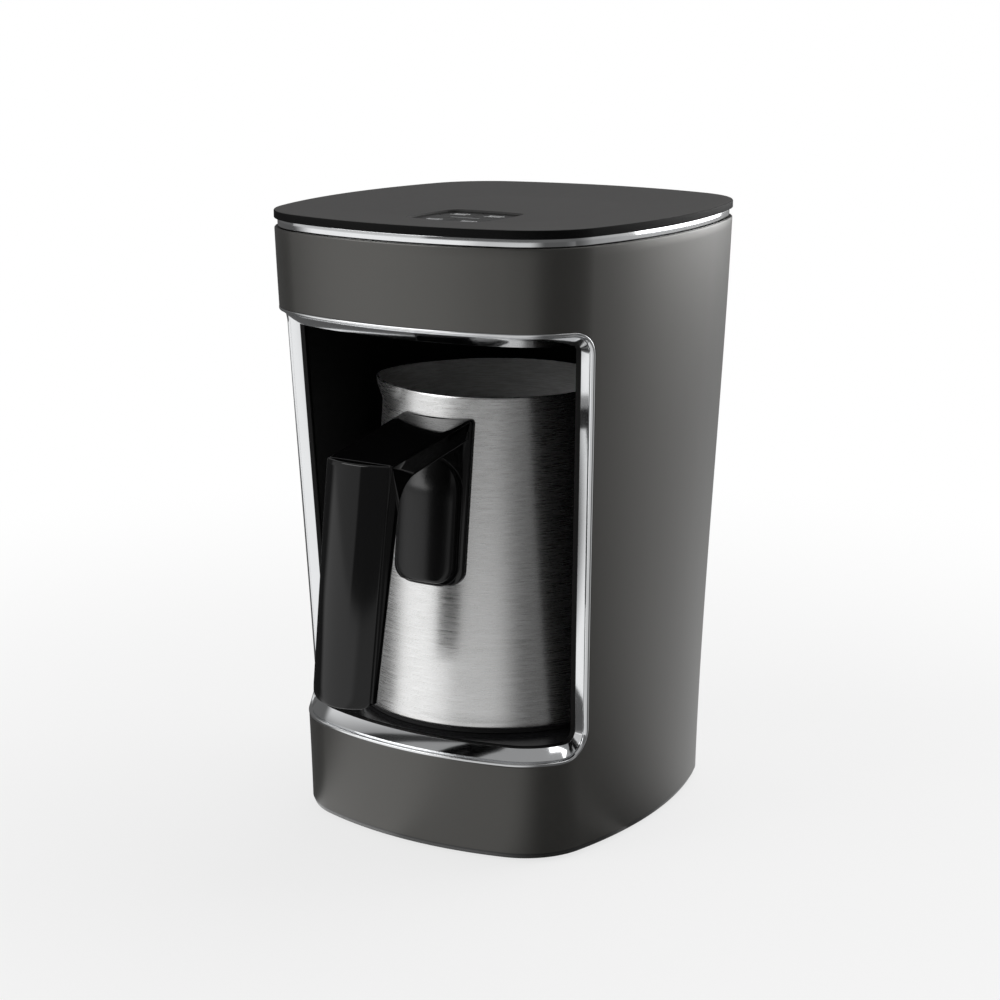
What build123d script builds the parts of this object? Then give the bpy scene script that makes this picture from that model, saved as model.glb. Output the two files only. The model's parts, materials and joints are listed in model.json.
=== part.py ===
from build123d import *
import os
from math import atan2, cos, degrees, hypot, pi, radians, sin, sqrt, tan

# Electric Turkish coffee maker: a tapered appliance body with an open front chamber, a conical
# steel pot that slides out of it towards -Y, and four push keys in the dished lid.
# Millimetres. +Z is up, the front faces -Y, and z = 0 is the surface that the feet stand on.
# Below, the body's middle axis is x = y = 0; save() moves every node along Y so that the middle of
# the object's box, handle included, is over the origin.

os.makedirs("parts", exist_ok=True)

# ---- Body outline in plan, at its top edge --------------------------------------------------
body_half_width = 79.0
body_half_depth = 86.0
corner_radius = 35.0
front_arc_radius = 168.0
side_arc_radius = 204.0

# ---- Body heights and the lean of its walls -------------------------------------------------
foot_gap = 1.5
shell_height = 238.0
base_side_inset = 8.7
lean_at_top = 1.55
lean_at_base = 0.70
shell_wall = 2.5
base_chamfer_height = 2.0
base_chamfer_inset = 0.8
fit_gap = 0.2

# ---- Front opening and its bezel ------------------------------------------------------------
sill_height = 38.0
head_height = 31.0
sill_jamb_depth = 40.6
head_jamb_depth = 33.0
opening_radius_low = 13.0
opening_radius_high = 9.5
bezel_lip = 1.4
bezel_width = 5.8
bezel_depth = 5.6
bezel_back = 1.9
bezel_inner_lip = 0.4
bezel_flange = 4.0
bezel_flange_thickness = 2.0
bezel_inner_radius_low = 6.0
bezel_inner_radius_high = 5.0

# ---- Brewing chamber ------------------------------------------------------------------------
chamber_side_room_low = 11.0
chamber_side_room_high = 12.9
rear_room = 26.6
liner_wall = 2.0
ceiling_rise = 2.0
floor_rise = 0.3
floor_thickness = 2.5
floor_flange_thickness = 2.0

# ---- Heating plate stack --------------------------------------------------------------------
plate_radius = 45.0
plate_thickness = 5.7
plate_flange_radius = 48.5
plate_flange_thickness = 1.5
plate_flange_width = 6.0
seal_width = 1.9
seal_lip = 1.2
element_ring_radius = 32.0
element_tube_radius = 3.2
element_gap_angle = 40.0
element_pin_length = 11.0
shield_radius = 54.0
shield_bowl_radius = 42.0
shield_sheet = 0.8
shield_depth = 13.0
shield_boss_circle = 51.5
shield_boss_radius = 2.6
small_screw_radius = 1.25
small_screw_length = 8.0
screw_fit = 0.03
thermostat_radius = 8.0
thermostat_height = 6.0
thermostat_ear_reach = 14.0
thermostat_ear_half_width = 3.5
thermostat_ear_thickness = 1.0
tab_offset = 3.1
tab_half_thickness = 0.4
tab_half_width = 2.4
tab_length = 5.0
fuse_radius = 2.0
fuse_length = 14.0
fuse_lead_radius = 0.5
fuse_lead_length = 26.0
fuse_behind_front = 16.0
clip_sheet = 0.8
clip_half_width = 3.0
clip_foot_reach = 7.0
probe_radius = 2.5
probe_height = 7.0
probe_x = -18.0
probe_lug_length = 8.0
probe_lug_half_width = 3.0
probe_lug_thickness = 0.8

# ---- Base -----------------------------------------------------------------------------------
base_plate_thickness = 2.5
foot_radius = 7.0
foot_thickness = 2.5
foot_from_post = 12.0
post_inset = 11.1
post_radius = 4.5
post_top = 34.0
base_screw_radius = 1.5
base_screw_head_radius = 3.0
base_screw_head_height = 2.3
base_screw_length = 15.0
base_boss_height = 4.0
support_post_radius = 3.5
support_front_angle = 45.0
support_rear_angle = 50.0
vent_width = 2.5
vent_length = 26.0
vent_pitch = 6.0
vent_count = 9

# ---- Lid ------------------------------------------------------------------------------------
trim_height = 3.4
trim_inset = 1.3
trim_width = 2.5
trim_skirt_height = 2.5
lid_edge_height = 3.2
lid_overhang = 0.1
lid_rim_flat = 2.0
dish_depth = 2.1
dish_scale = 0.55
lid_plate_thickness = 2.5
lid_rib_width = 2.5
lid_rib_height = 2.6
lid_boss_radius = 3.5
lid_boss_inset = 9.7
lid_ear_radius = 9.0
lid_ear_thickness = 3.0
lid_ear_drop = 4.5

# ---- Control panel and keys -----------------------------------------------------------------
panel_behind_front = 54.5
panel_half_width = 18.5
panel_half_length = 19.2
panel_corner_radius = 5.0
panel_side_radius = 90.0
panel_recess = 0.8
panel_lip = 2.0
panel_lip_thickness = 1.5
panel_gap = 0.15
key_pitch_x = 15.8
key_pitch_y = 19.6
key_width = 14.0
key_length = 13.6
key_corner_radius = 3.0
key_gap = 0.25
key_flange = 0.6
key_flange_thickness = 0.8
key_flange_gap = 0.1
key_stem_radius = 2.0
key_travel = 0.8
light_bar_length = 13.0
light_bar_width = 1.2
light_bar_height = 4.6
light_holder_half_width = 1.6
light_holder_wall = 1.0
light_holder_roof = 0.8

# ---- Boards and electrical parts ------------------------------------------------------------
board_thickness = 1.6
control_board_half = 28.0
control_board_drop = 9.3
switch_side = 6.0
switch_height = 3.5
plunger_radius = 1.7
plunger_height = 1.5
led_length = 3.0
led_width = 1.5
led_height = 1.0
buzzer_radius = 4.5
buzzer_height = 5.4
board_post_radius = 3.0
board_post_margin = 1.0
power_board_width = 66.0
power_board_height = 92.0
power_board_bottom = 60.0
power_board_stand_off = 3.6
transformer_size = (26.0, 10.5, 24.0)
transformer_coil_size = (18.0, 8.5, 30.0)
transformer_place = (14.0, 64.0)
relay_size = (19.0, 10.0, 16.0)
relay_place = (-17.0, 60.0)
capacitor_size = (18.0, 7.0, 12.0)
capacitor_place = (-14.0, 34.0)
terminal_size = (30.0, 9.0, 10.0)
terminal_place = (0.0, 12.0)
wire_bundle_radius = 1.8
element_wire_drop = 20.0
element_wire_slope = 14.0
element_wire_dip = 13.0
element_wire_approach = 12.0
panel_wire_x = -20.0
panel_wire_low = 28.7
panel_wire_high = 4.7
panel_wire_over = 13.0
panel_wire_forward = 20.0
panel_wire_far = 46.0
panel_wire_inset = 4.0

# ---- Foam sensor ----------------------------------------------------------------------------
window_radius = 8.0
window_thickness = 1.6
sensor_radius = 6.0
sensor_height = 8.0
sensor_bracket_half = 12.0
sensor_bracket_thickness = 1.5
sensor_bracket_half_depth = 8.0
sensor_board_thickness = 1.2
sensor_board_half_width = 8.0
sensor_board_half_depth = 9.0
sensor_post_height = 6.0
sensor_stand_off = 1.2
window_rim_width = 0.8
window_rim_thickness = 1.0

# ---- Mains inlet ----------------------------------------------------------------------------
gland_height = 18.0
gland_tube_radius = 5.1
gland_flange_radius = 8.0
gland_flange_thickness = 1.8
gland_bore_radius = 3.6
gland_collar_radius = 6.6
gland_stand_off = 0.7
gland_collar_thickness = 1.8

# ---- Pot ------------------------------------------------------------------------------------
pot_side_gap = 1.9
pot_rim_radius = 44.2
pot_height = 129.6
pot_wall = 1.0
pot_seat_gap = 0.2
pot_ring_height = 1.7
pot_ring_inset = 1.5
pot_ring_width = 6.0
pot_disc_height = 1.5
spout_reach = 8.3
spout_half_angle = 36.0
spout_drop = 42.0
spout_tip_radius = 5.0
spout_root_inset = 3.0

# ---- Pot handle -----------------------------------------------------------------------------
saddle_half_width = 16.3
saddle_thickness = 2.4
saddle_top_below_rim = 8.3
saddle_height = 65.0
saddle_corner_radius = 6.0
bracket_half_width = 9.0
bracket_thickness = 0.9
bracket_height = 38.0
bracket_below_saddle_top = 18.0
pad_half_width = 13.4
pad_thickness = 4.0
pad_below_saddle_top = 15.5
pad_height = 48.2
bridge_half_width = 15.5
bridge_reach = 50.5
bridge_drop = 8.3
bridge_thickness = 8.0
bridge_fillet = 8.0
grip_top_half_width = 14.2
grip_bottom_half_width = 13.3
grip_length = 90.5
grip_rake = 13.4
grip_back_thickness = 6.6
grip_corner_radius = 5.0
cover_bulge = 3.2
cover_side = 1.0
contact_gap = 0.05
handle_screw_radius = 1.5
handle_screw_head_radius = 2.6
handle_screw_head_height = 1.6
handle_screw_spacing = 20.0

# ---- Heights that follow --------------------------------------------------------------------
shell_bottom = foot_gap
shell_top = shell_bottom + shell_height
base_half_width = body_half_width - base_side_inset
opening_bottom = shell_bottom + sill_height
opening_top = shell_top - head_height
opening_height = opening_top - opening_bottom
bezel_low = opening_bottom + bezel_width
bezel_high = opening_top - bezel_width
floor_top = bezel_low + floor_rise
floor_under = floor_top - floor_thickness
flange_under = floor_under - floor_flange_thickness
ceiling = bezel_high + ceiling_rise
liner_top = ceiling + liner_wall
bracket_under = liner_top + sensor_post_height
trim_top = shell_top + trim_height
lid_top = trim_top + lid_edge_height
ear_seat = shell_top - lid_ear_drop - trim_skirt_height
ear_top = ear_seat + lid_ear_thickness
dish_bottom = lid_top - dish_depth
lid_plate_under = dish_bottom - lid_plate_thickness
panel_top = dish_bottom - panel_recess
plate_top = floor_top
plate_under = plate_top - plate_thickness
plate_flange_under = plate_under - plate_flange_thickness
boss_under = plate_flange_under
base_plate_top = shell_bottom + base_plate_thickness
pot_bottom = floor_top + pot_seat_gap + pot_ring_height
pot_top = pot_bottom + pot_height
reach = 3.0 * body_half_depth
over = 1.0


# ---- Small helpers --------------------------------------------------------------------------
def upright_cylinder(radius, low, high, x=0.0, y=0.0):
    return Pos(x, y, (low + high) / 2) * Cylinder(radius, high - low)


def cylinder_along_y(radius, y_from, y_to, x, z):
    return Pos(x, (y_from + y_to) / 2, z) * Rot(90, 0, 0) * Cylinder(radius, abs(y_to - y_from))


def block(x_from, x_to, y_from, y_to, z_from, z_to):
    centre = ((x_from + x_to) / 2, (y_from + y_to) / 2, (z_from + z_to) / 2)
    return Pos(*centre) * Box(x_to - x_from, y_to - y_from, z_to - z_from)


def ring(outer, inner, low, high, x=0.0, y=0.0):
    return upright_cylinder(outer, low, high, x, y) - upright_cylinder(inner, low - over, high + over, x, y)


def four_corners(x, y, middle_y=0.0):
    return [(sx * x, middle_y + sy * y) for sy in (-1, 1) for sx in (-1, 1)]


def as_group(shapes):
    """Several separate solids as one node."""
    return Compound([solid for shape in shapes for solid in shape.solids()])


def save(name, shape):
    """Writes a node, with the whole object moved so that its box is centred over the origin."""
    solids = [Pos(0, -middle_y, 0) * solid for solid in shape.solids()]
    export_step(Compound(solids) if len(solids) > 1 else solids[0], os.path.join("parts", name + ".step"))


# ---- Plan outline: eight tangent arcs -------------------------------------------------------
def corner_arc(half_width, half_depth, corner, front_radius, side_radius):
    """Centre of the right front corner arc, and its directions where it meets the front and the side."""
    front_centre = (0.0, front_radius - half_depth)
    side_centre = (half_width - side_radius, 0.0)
    to_corner_front = front_radius - corner
    to_corner_side = side_radius - corner
    apart = hypot(side_centre[0] - front_centre[0], side_centre[1] - front_centre[1])
    ux = (side_centre[0] - front_centre[0]) / apart
    uy = (side_centre[1] - front_centre[1]) / apart
    along = (to_corner_front**2 - to_corner_side**2 + apart**2) / (2 * apart)
    across = sqrt(to_corner_front**2 - along**2)
    corner_x = front_centre[0] + ux * along - uy * across
    corner_y = front_centre[1] + uy * along + ux * across
    front_angle = atan2(corner_y - front_centre[1], corner_x - front_centre[0])
    side_angle = atan2(corner_y - side_centre[1], corner_x - side_centre[0])
    return corner_x, corner_y, front_angle, side_angle


def arc_outline(half_width, half_depth, corner, front_radius, side_radius):
    """Face bounded by a front, a back and two side arcs, joined by four tangent corner arcs."""
    corner_x, corner_y, front_angle, side_angle = corner_arc(
        half_width, half_depth, corner, front_radius, side_radius
    )
    front_x = corner_x + corner * cos(front_angle)
    front_y = corner_y + corner * sin(front_angle)
    side_x = corner_x + corner * cos(side_angle)
    side_y = corner_y + corner * sin(side_angle)
    middle_angle = (front_angle + side_angle) / 2
    middle_x = corner_x + corner * cos(middle_angle)
    middle_y = corner_y + corner * sin(middle_angle)
    edges = [
        ThreePointArc((-front_x, front_y), (0, -half_depth), (front_x, front_y)),
        ThreePointArc((front_x, front_y), (middle_x, middle_y), (side_x, side_y)),
        ThreePointArc((side_x, side_y), (half_width, 0), (side_x, -side_y)),
        ThreePointArc((side_x, -side_y), (middle_x, -middle_y), (front_x, -front_y)),
        ThreePointArc((front_x, -front_y), (0, half_depth), (-front_x, -front_y)),
        ThreePointArc((-front_x, -front_y), (-middle_x, -middle_y), (-side_x, -side_y)),
        ThreePointArc((-side_x, -side_y), (-half_width, 0), (-side_x, side_y)),
        ThreePointArc((-side_x, side_y), (-middle_x, middle_y), (-front_x, front_y)),
    ]
    return make_face(Wire([edge.edge() for edge in edges]))


def taper(z):
    """Size of the plan outline at height z as a share of its size at the top edge: a cubic."""
    t = min(max((z - shell_bottom) / shell_height, 0.0), 1.0)
    slope_base = shell_height * tan(radians(lean_at_base))
    slope_top = shell_height * tan(radians(lean_at_top))
    width = (
        (2 * t**3 - 3 * t**2 + 1) * base_half_width
        + (t**3 - 2 * t**2 + t) * slope_base
        + (3 * t**2 - 2 * t**3) * body_half_width
        + (t**3 - t**2) * slope_top
    )
    return width / body_half_width


def outline_sizes(share, inset):
    sizes = (body_half_width, body_half_depth, corner_radius, front_arc_radius, side_arc_radius)
    return [size * share - inset for size in sizes]


def plan_face(inset, z, scale=None):
    """The body's plan outline at height z, drawn in by inset all round."""
    share = taper(z) if scale is None else scale
    return Pos(0, 0, z) * arc_outline(*outline_sizes(share, inset))


def corner_place(inset, z):
    """x and y of the middle of a rear corner at height z, drawn in by inset."""
    sizes = outline_sizes(taper(z), inset)
    x, y, front_angle, side_angle = corner_arc(*sizes)
    middle_angle = (front_angle + side_angle) / 2
    return x + sizes[2] * cos(middle_angle), -y - sizes[2] * sin(middle_angle)


def body_form(inset, level_count=7):
    """The whole tapered body, drawn in by inset."""
    step = shell_height / (level_count - 1)
    return loft([plan_face(inset, shell_bottom + step * level) for level in range(level_count)])


def plan_slab(inset, low, high):
    """A straight-sided slab of the outline at the top edge."""
    return extrude(plan_face(inset, low, scale=1.0), amount=high - low)


# ---- Places and sizes that follow from the body ---------------------------------------------
jamb_y_at_sill = sill_jamb_depth - body_half_depth
jamb_y_at_head = head_jamb_depth - body_half_depth
panel_y = panel_behind_front - body_half_depth
chamber_half_width_low = body_half_width * taper(floor_under) - chamber_side_room_low
chamber_half_width_high = body_half_width * taper(ceiling) - chamber_side_room_high
liner_back_y = body_half_depth - rear_room
pot_axis_y = liner_back_y - liner_wall - chamber_half_width_high
power_board_y = liner_back_y + power_board_stand_off
pot_base_radius = chamber_half_width_low - pot_side_gap
pot_ring_radius = pot_base_radius - pot_ring_inset
pot_slope = (pot_base_radius - pot_rim_radius) / pot_height
post_x, post_y = corner_place(post_inset, shell_bottom)
foot_x = post_x - foot_from_post
lid_boss_x, lid_boss_y = corner_place(lid_boss_inset, shell_top)


# ---- Opening outline seen from the side -----------------------------------------------------
def jamb_y(z):
    share = (z - opening_bottom) / opening_height
    return jamb_y_at_sill + share * (jamb_y_at_head - jamb_y_at_sill)


def opening_prism(low, high, setback, radius_low, radius_high):
    """Prism right across the body, open to the front, up to the leaning jamb line plus setback."""
    corners = [
        (-reach, low),
        (jamb_y(low) + setback, low),
        (jamb_y(high) + setback, high),
        (-reach, high),
    ]
    path = FilletPolyline(*corners, radius=[radius_low, radius_high])
    face = make_face(Wire(path.edges() + [Line(corners[3], corners[0]).edge()]))
    return extrude(Plane.YZ * face, amount=reach, both=True)


outer_form = body_form(0.0)
opening_cut = opening_prism(opening_bottom, opening_top, 0.0, opening_radius_low, opening_radius_high)


# ---- Outer housing --------------------------------------------------------------------------
def make_outer_housing():
    chamfer_top = shell_bottom + base_chamfer_height
    outside = outer_form & block(-reach, reach, -reach, reach, chamfer_top, shell_top + over)
    bevel = loft([plan_face(base_chamfer_inset, shell_bottom), plan_face(0.0, chamfer_top)], ruled=True)
    shell = outside + bevel - body_form(shell_wall) - opening_cut
    wall_limit = body_form(shell_wall / 2)
    for x, y in four_corners(post_x, post_y):
        low = shell_bottom + base_plate_thickness + base_boss_height
        outward = Pos(x, y, (low + post_top) / 2) * Rot(0, 0, degrees(atan2(y, x)))
        rib_length = 2 * corner_radius
        rib = outward * Pos(rib_length / 2, 0, 0) * Box(rib_length, shell_wall, post_top - low)
        shell += (rib + upright_cylinder(post_radius, low, post_top, x, y)) & wall_limit
        shell -= upright_cylinder(base_screw_radius + screw_fit, low - over, low + base_screw_length, x, y)
    for x, y in four_corners(lid_boss_x, lid_boss_y):
        ear = upright_cylinder(lid_ear_radius, ear_seat, ear_top, x, y)
        shell += ear & wall_limit
        shell -= upright_cylinder(small_screw_radius + fit_gap, ear_seat - over, ear_top + over, x, y)
    rear = body_half_depth
    shell -= cylinder_along_y(gland_tube_radius + screw_fit, 0, rear, 0, shell_bottom + gland_height)
    return shell


# ---- Front bezel ----------------------------------------------------------------------------
def make_front_bezel():
    full_depth = bezel_depth + bezel_back
    back_form = body_form(full_depth)
    face_band = outer_form & opening_prism(
        opening_bottom + fit_gap / 2,
        opening_top - fit_gap / 2,
        -fit_gap / 2,
        opening_radius_low,
        opening_radius_high,
    )
    flange = body_form(shell_wall + fit_gap) & opening_prism(
        opening_bottom - bezel_flange,
        opening_top + bezel_flange,
        bezel_flange,
        opening_radius_low + bezel_flange,
        opening_radius_high + bezel_flange,
    )
    bezel = (face_band + flange) - back_form
    bezel -= opening_prism(
        bezel_low, bezel_high, -bezel_lip, bezel_inner_radius_low, bezel_inner_radius_high
    )
    splay_inset = bezel_depth - bezel_inner_lip
    throat = opening_prism(
        bezel_low, bezel_high, bezel_flange + over, bezel_inner_radius_low, bezel_inner_radius_high
    )
    bezel -= throat & body_form(bezel_depth)
    behind_flange = opening_prism(
        opening_bottom + bezel_flange,
        opening_top - bezel_flange,
        bezel_flange + over,
        opening_radius_low,
        opening_radius_high,
    )
    bezel -= behind_flange & body_form(shell_wall + fit_gap + bezel_flange_thickness) & block(
        -reach, reach, jamb_y_at_sill, reach, bezel_low, bezel_high
    )
    for splay_low, splay_high, inset_low, inset_high in (
        (bezel_high, opening_top - bezel_lip, splay_inset, 0.0),
        (opening_bottom + bezel_lip, bezel_low, 0.0, splay_inset),
    ):
        core = loft([plan_face(inset_low, splay_low), plan_face(inset_high, splay_high)], ruled=True)
        slab = opening_prism(splay_low, splay_high, -bezel_lip - fit_gap, fit_gap, fit_gap)
        bezel -= slab - core
    return bezel


# ---- Chamber liner, floor and ceiling -------------------------------------------------------
def chamber_half_width(z):
    share = (z - floor_under) / (ceiling - floor_under)
    return chamber_half_width_low + share * (chamber_half_width_high - chamber_half_width_low)


def chamber_face(offset, z):
    """Plan of the chamber: straight sides to the front and a half circle round the pot's axis."""
    half_width = chamber_half_width(z) + offset
    front = -body_half_depth - over
    edges = [
        Line((-half_width, front), (half_width, front)),
        Line((half_width, front), (half_width, pot_axis_y)),
        ThreePointArc((half_width, pot_axis_y), (0, pot_axis_y + half_width), (-half_width, pot_axis_y)),
        Line((-half_width, pot_axis_y), (-half_width, front)),
    ]
    return Pos(0, 0, z) * make_face(Wire([edge.edge() for edge in edges]))


def chamber_form(offset, low, high):
    return loft([chamber_face(offset, low), chamber_face(offset, high)], ruled=True)


def power_board_holes():
    x = power_board_width / 2 - board_post_radius
    low = power_board_bottom + board_post_radius
    high = power_board_bottom + power_board_height - board_post_radius
    return [(sx * x, z) for z in (low, high) for sx in (-1, 1)]


def make_cavity_liner():
    top = liner_top
    inside_front = body_form(bezel_depth + bezel_back + fit_gap)
    walls = chamber_form(liner_wall, floor_under, ceiling)
    roof = chamber_form(liner_wall, ceiling, top) & inside_front
    inner = chamber_form(0.0, floor_under - over, ceiling)
    behind_bezel = opening_prism(
        floor_under - over, ceiling + over, bezel_flange + fit_gap, over, over
    )
    liner = walls - inner - behind_bezel + roof
    liner -= upright_cylinder(window_radius + fit_gap, ceiling - over, top + over, 0, pot_axis_y)
    wall_solid = chamber_form(liner_wall / 2, floor_under, ceiling)
    for x, z in power_board_holes():
        post = cylinder_along_y(board_post_radius, pot_axis_y, power_board_y, x, z)
        liner += post - wall_solid
        hole_end = power_board_y - small_screw_length
        liner -= cylinder_along_y(small_screw_radius + screw_fit, hole_end, power_board_y + over, x, z)
    for x in (-sensor_bracket_half, sensor_bracket_half):
        liner += upright_cylinder(board_post_radius, top - over / 2, bracket_under, x, pot_axis_y)
        liner -= upright_cylinder(small_screw_radius + screw_fit, top, bracket_under + over, x, pot_axis_y)
    return liner


def shield_boss_places():
    return [
        (shield_boss_circle * cos(radians(a)), pot_axis_y + shield_boss_circle * sin(radians(a)))
        for a in (90, 210, 330)
    ]


def make_pot_platform():
    inside_front = body_form(bezel_depth + bezel_back + fit_gap)
    top_disc = chamber_form(-fit_gap, floor_under, floor_top)
    flange = chamber_form(liner_wall, flange_under, floor_under)
    platform = (top_disc + flange) & inside_front
    hole_radius = plate_radius + seal_width + 2 * screw_fit
    platform -= upright_cylinder(hole_radius, flange_under - over, floor_top + over, 0, pot_axis_y)
    for x, y in shield_boss_places():
        platform += upright_cylinder(shield_boss_radius, boss_under, flange_under + over, x, y)
        platform -= upright_cylinder(small_screw_radius + screw_fit, boss_under - over, floor_under, x, y)
    return platform


# ---- Heating plate stack --------------------------------------------------------------------
def make_heating_plate():
    disc = upright_cylinder(plate_radius, plate_under, plate_top, 0, pot_axis_y)
    flange = ring(
        plate_flange_radius,
        plate_flange_radius - plate_flange_width,
        plate_flange_under,
        plate_under,
        0,
        pot_axis_y,
    )
    return disc + flange


def make_plate_seal():
    collar = ring(
        plate_radius + seal_width + screw_fit,
        plate_radius + screw_fit,
        flange_under - seal_lip,
        floor_top - fit_gap,
        0,
        pot_axis_y,
    )
    lip = ring(
        plate_flange_radius,
        plate_radius + screw_fit,
        flange_under - seal_lip,
        flange_under,
        0,
        pot_axis_y,
    )
    return collar + lip


def make_heating_element():
    centre_z = plate_under - element_tube_radius - screw_fit
    start = radians(90 + element_gap_angle / 2)
    sweep_angle = 360 - element_gap_angle
    path = CenterArc((0, pot_axis_y), element_ring_radius, degrees(start), sweep_angle)
    path = Pos(0, 0, centre_z) * path
    section_plane = Plane(path @ 0, z_dir=path % 0)
    tube = sweep(section_plane * Circle(element_tube_radius), path=path)
    pin_radius = element_tube_radius / 2.5
    for end in (path @ 0, path @ 1):
        tube += upright_cylinder(pin_radius, centre_z - element_pin_length, centre_z, end.X, end.Y)
    return tube


def make_heat_shield():
    top = boss_under
    bowl_floor = top - shield_depth
    flange = ring(shield_radius, shield_bowl_radius - shield_sheet, top - shield_sheet, top, 0, pot_axis_y)
    wall = ring(shield_bowl_radius, shield_bowl_radius - shield_sheet, bowl_floor, top, 0, pot_axis_y)
    floor = upright_cylinder(shield_bowl_radius, bowl_floor, bowl_floor + shield_sheet, 0, pot_axis_y)
    shield = flange + wall + floor
    for x, y in shield_boss_places():
        hole_low = top - shield_sheet - over
        shield -= upright_cylinder(small_screw_radius + fit_gap, hole_low, top + over, x, y)
    pin_x = element_ring_radius * sin(radians(element_gap_angle / 2))
    window_half_width = pin_x + 2 * element_tube_radius
    back = pot_axis_y + element_ring_radius
    shield -= block(
        -window_half_width,
        window_half_width,
        back - 2 * element_tube_radius,
        back + element_tube_radius,
        bowl_floor - over,
        bowl_floor + shield_sheet + over,
    )
    return shield


def make_thermostat():
    top = plate_under - screw_fit
    under = top - thermostat_height
    body = upright_cylinder(thermostat_radius, under, top, 0, pot_axis_y)
    ears = block(
        -thermostat_ear_reach,
        thermostat_ear_reach,
        pot_axis_y - thermostat_ear_half_width,
        pot_axis_y + thermostat_ear_half_width,
        top - thermostat_ear_thickness,
        top,
    )
    body += ears
    for x in (-tab_offset, tab_offset):
        body += block(
            x - tab_half_thickness,
            x + tab_half_thickness,
            pot_axis_y - tab_half_width,
            pot_axis_y + tab_half_width,
            under - tab_length,
            under,
        )
    return body


fuse_y = pot_axis_y - fuse_behind_front


def cylinder_along_x(radius, length, y, z):
    return Pos(0, y, z) * Rot(0, 90, 0) * Cylinder(radius, length)


def make_thermal_fuse():
    z = plate_under - fuse_radius - screw_fit
    return cylinder_along_x(fuse_radius, fuse_length, fuse_y, z) + cylinder_along_x(
        fuse_lead_radius, fuse_lead_length, fuse_y, z
    )


def make_fuse_clip():
    """A sheet strap that arches round the fuse and stands on the plate at both sides."""
    inner = fuse_radius + screw_fit
    outer = inner + clip_sheet
    z = plate_under - inner
    width = 2 * clip_half_width
    strap = cylinder_along_x(outer, width, fuse_y, z)
    strap &= block(-width, width, fuse_y - outer, fuse_y + outer, z - outer, z)
    strap += block(-clip_half_width, clip_half_width, fuse_y - outer, fuse_y + outer, z, plate_under)
    strap += block(
        -clip_half_width,
        clip_half_width,
        fuse_y - clip_foot_reach,
        fuse_y + clip_foot_reach,
        plate_under - clip_sheet,
        plate_under,
    )
    strap -= cylinder_along_x(inner, 2 * width, fuse_y, z)
    strap -= block(-width, width, fuse_y - inner, fuse_y + inner, z, plate_under + over)
    return strap


def make_temperature_sensor():
    top = plate_under - screw_fit
    capsule = upright_cylinder(probe_radius, top - probe_height, top, probe_x, pot_axis_y)
    lug = block(
        probe_x - probe_lug_length,
        probe_x,
        pot_axis_y - probe_lug_half_width,
        pot_axis_y + probe_lug_half_width,
        top - probe_lug_thickness,
        top,
    )
    return capsule + lug


def make_shield_screws():
    head_top = boss_under - shield_sheet
    screws = []
    for x, y in shield_boss_places():
        head = upright_cylinder(2 * small_screw_radius, head_top - small_screw_radius, head_top, x, y)
        shank = upright_cylinder(small_screw_radius, head_top, floor_under - over / 2, x, y)
        screws.append(head + shank)
    return as_group(screws)


# ---- Base -----------------------------------------------------------------------------------
def support_places():
    circle = shield_radius + support_post_radius + fit_gap
    turns = [radians(-support_front_angle), radians(support_rear_angle)]
    return [(sx * circle * cos(turn), pot_axis_y + circle * sin(turn)) for turn in turns for sx in (-1, 1)]


def make_base_cover():
    low = shell_bottom
    cover = body_form(shell_wall + fit_gap) & block(-reach, reach, -reach, reach, low, base_plate_top)
    for x, y in four_corners(post_x, post_y):
        boss_top = base_plate_top + base_boss_height
        cover += upright_cylinder(post_radius, base_plate_top - over, boss_top, x, y)
        seat = boss_top - base_screw_head_height
        cover -= upright_cylinder(base_screw_head_radius + fit_gap, low - over, seat, x, y)
        cover -= upright_cylinder(base_screw_radius + fit_gap, low - over, boss_top + over, x, y)
    for x, y in four_corners(foot_x, post_y):
        cover -= upright_cylinder(foot_radius + fit_gap / 2, low - over, foot_thickness, x, y)
    for x, y in support_places():
        cover += upright_cylinder(support_post_radius, base_plate_top - over, flange_under, x, y)
    for index in range(vent_count):
        x = (index - (vent_count - 1) / 2) * vent_pitch
        slot = Pos(x, pot_axis_y, base_plate_top) * SlotOverall(vent_length, vent_width, rotation=90)
        cover -= extrude(slot, amount=2 * base_plate_thickness, both=True)
    return cover


def make_base_screws():
    screws = []
    for x, y in four_corners(post_x, post_y):
        seat = base_plate_top + base_boss_height - base_screw_head_height
        head = upright_cylinder(base_screw_head_radius, seat - base_screw_head_height, seat, x, y)
        shank = upright_cylinder(base_screw_radius, seat, seat + base_screw_length, x, y)
        screws.append(head + shank)
    return as_group(screws)


def make_cord_gland():
    """A grommet: a tube through the rear wall with a flange outside and a collar inside."""
    z = shell_bottom + gland_height
    outside = body_half_depth * taper(z)
    inside = outside - shell_wall
    tube_end = outside + gland_stand_off + gland_flange_thickness
    collar_end = inside - gland_stand_off - gland_collar_thickness
    tube = cylinder_along_y(gland_tube_radius, collar_end, tube_end, 0, z)
    flange = cylinder_along_y(gland_flange_radius, outside + gland_stand_off, tube_end, 0, z)
    collar = cylinder_along_y(gland_collar_radius, collar_end, inside - gland_stand_off, 0, z)
    bore = cylinder_along_y(gland_bore_radius, collar_end - over, tube_end + over, 0, z)
    return tube + flange + collar - bore


# ---- Lid: trim ring, cover, panel, keys -----------------------------------------------------
def make_trim_ring():
    skirt_under = shell_top - trim_skirt_height
    band = plan_slab(trim_inset, shell_top, trim_top)
    skirt = plan_slab(shell_wall + fit_gap, skirt_under, shell_top)
    return band + skirt - plan_slab(trim_inset + trim_width, skirt_under - over, trim_top + over)


def panel_face(grow, z):
    outline = arc_outline(
        panel_half_width + grow,
        panel_half_length + grow,
        panel_corner_radius + grow,
        panel_side_radius + grow,
        panel_side_radius + grow,
    )
    return Pos(0, panel_y, z) * outline


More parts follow.
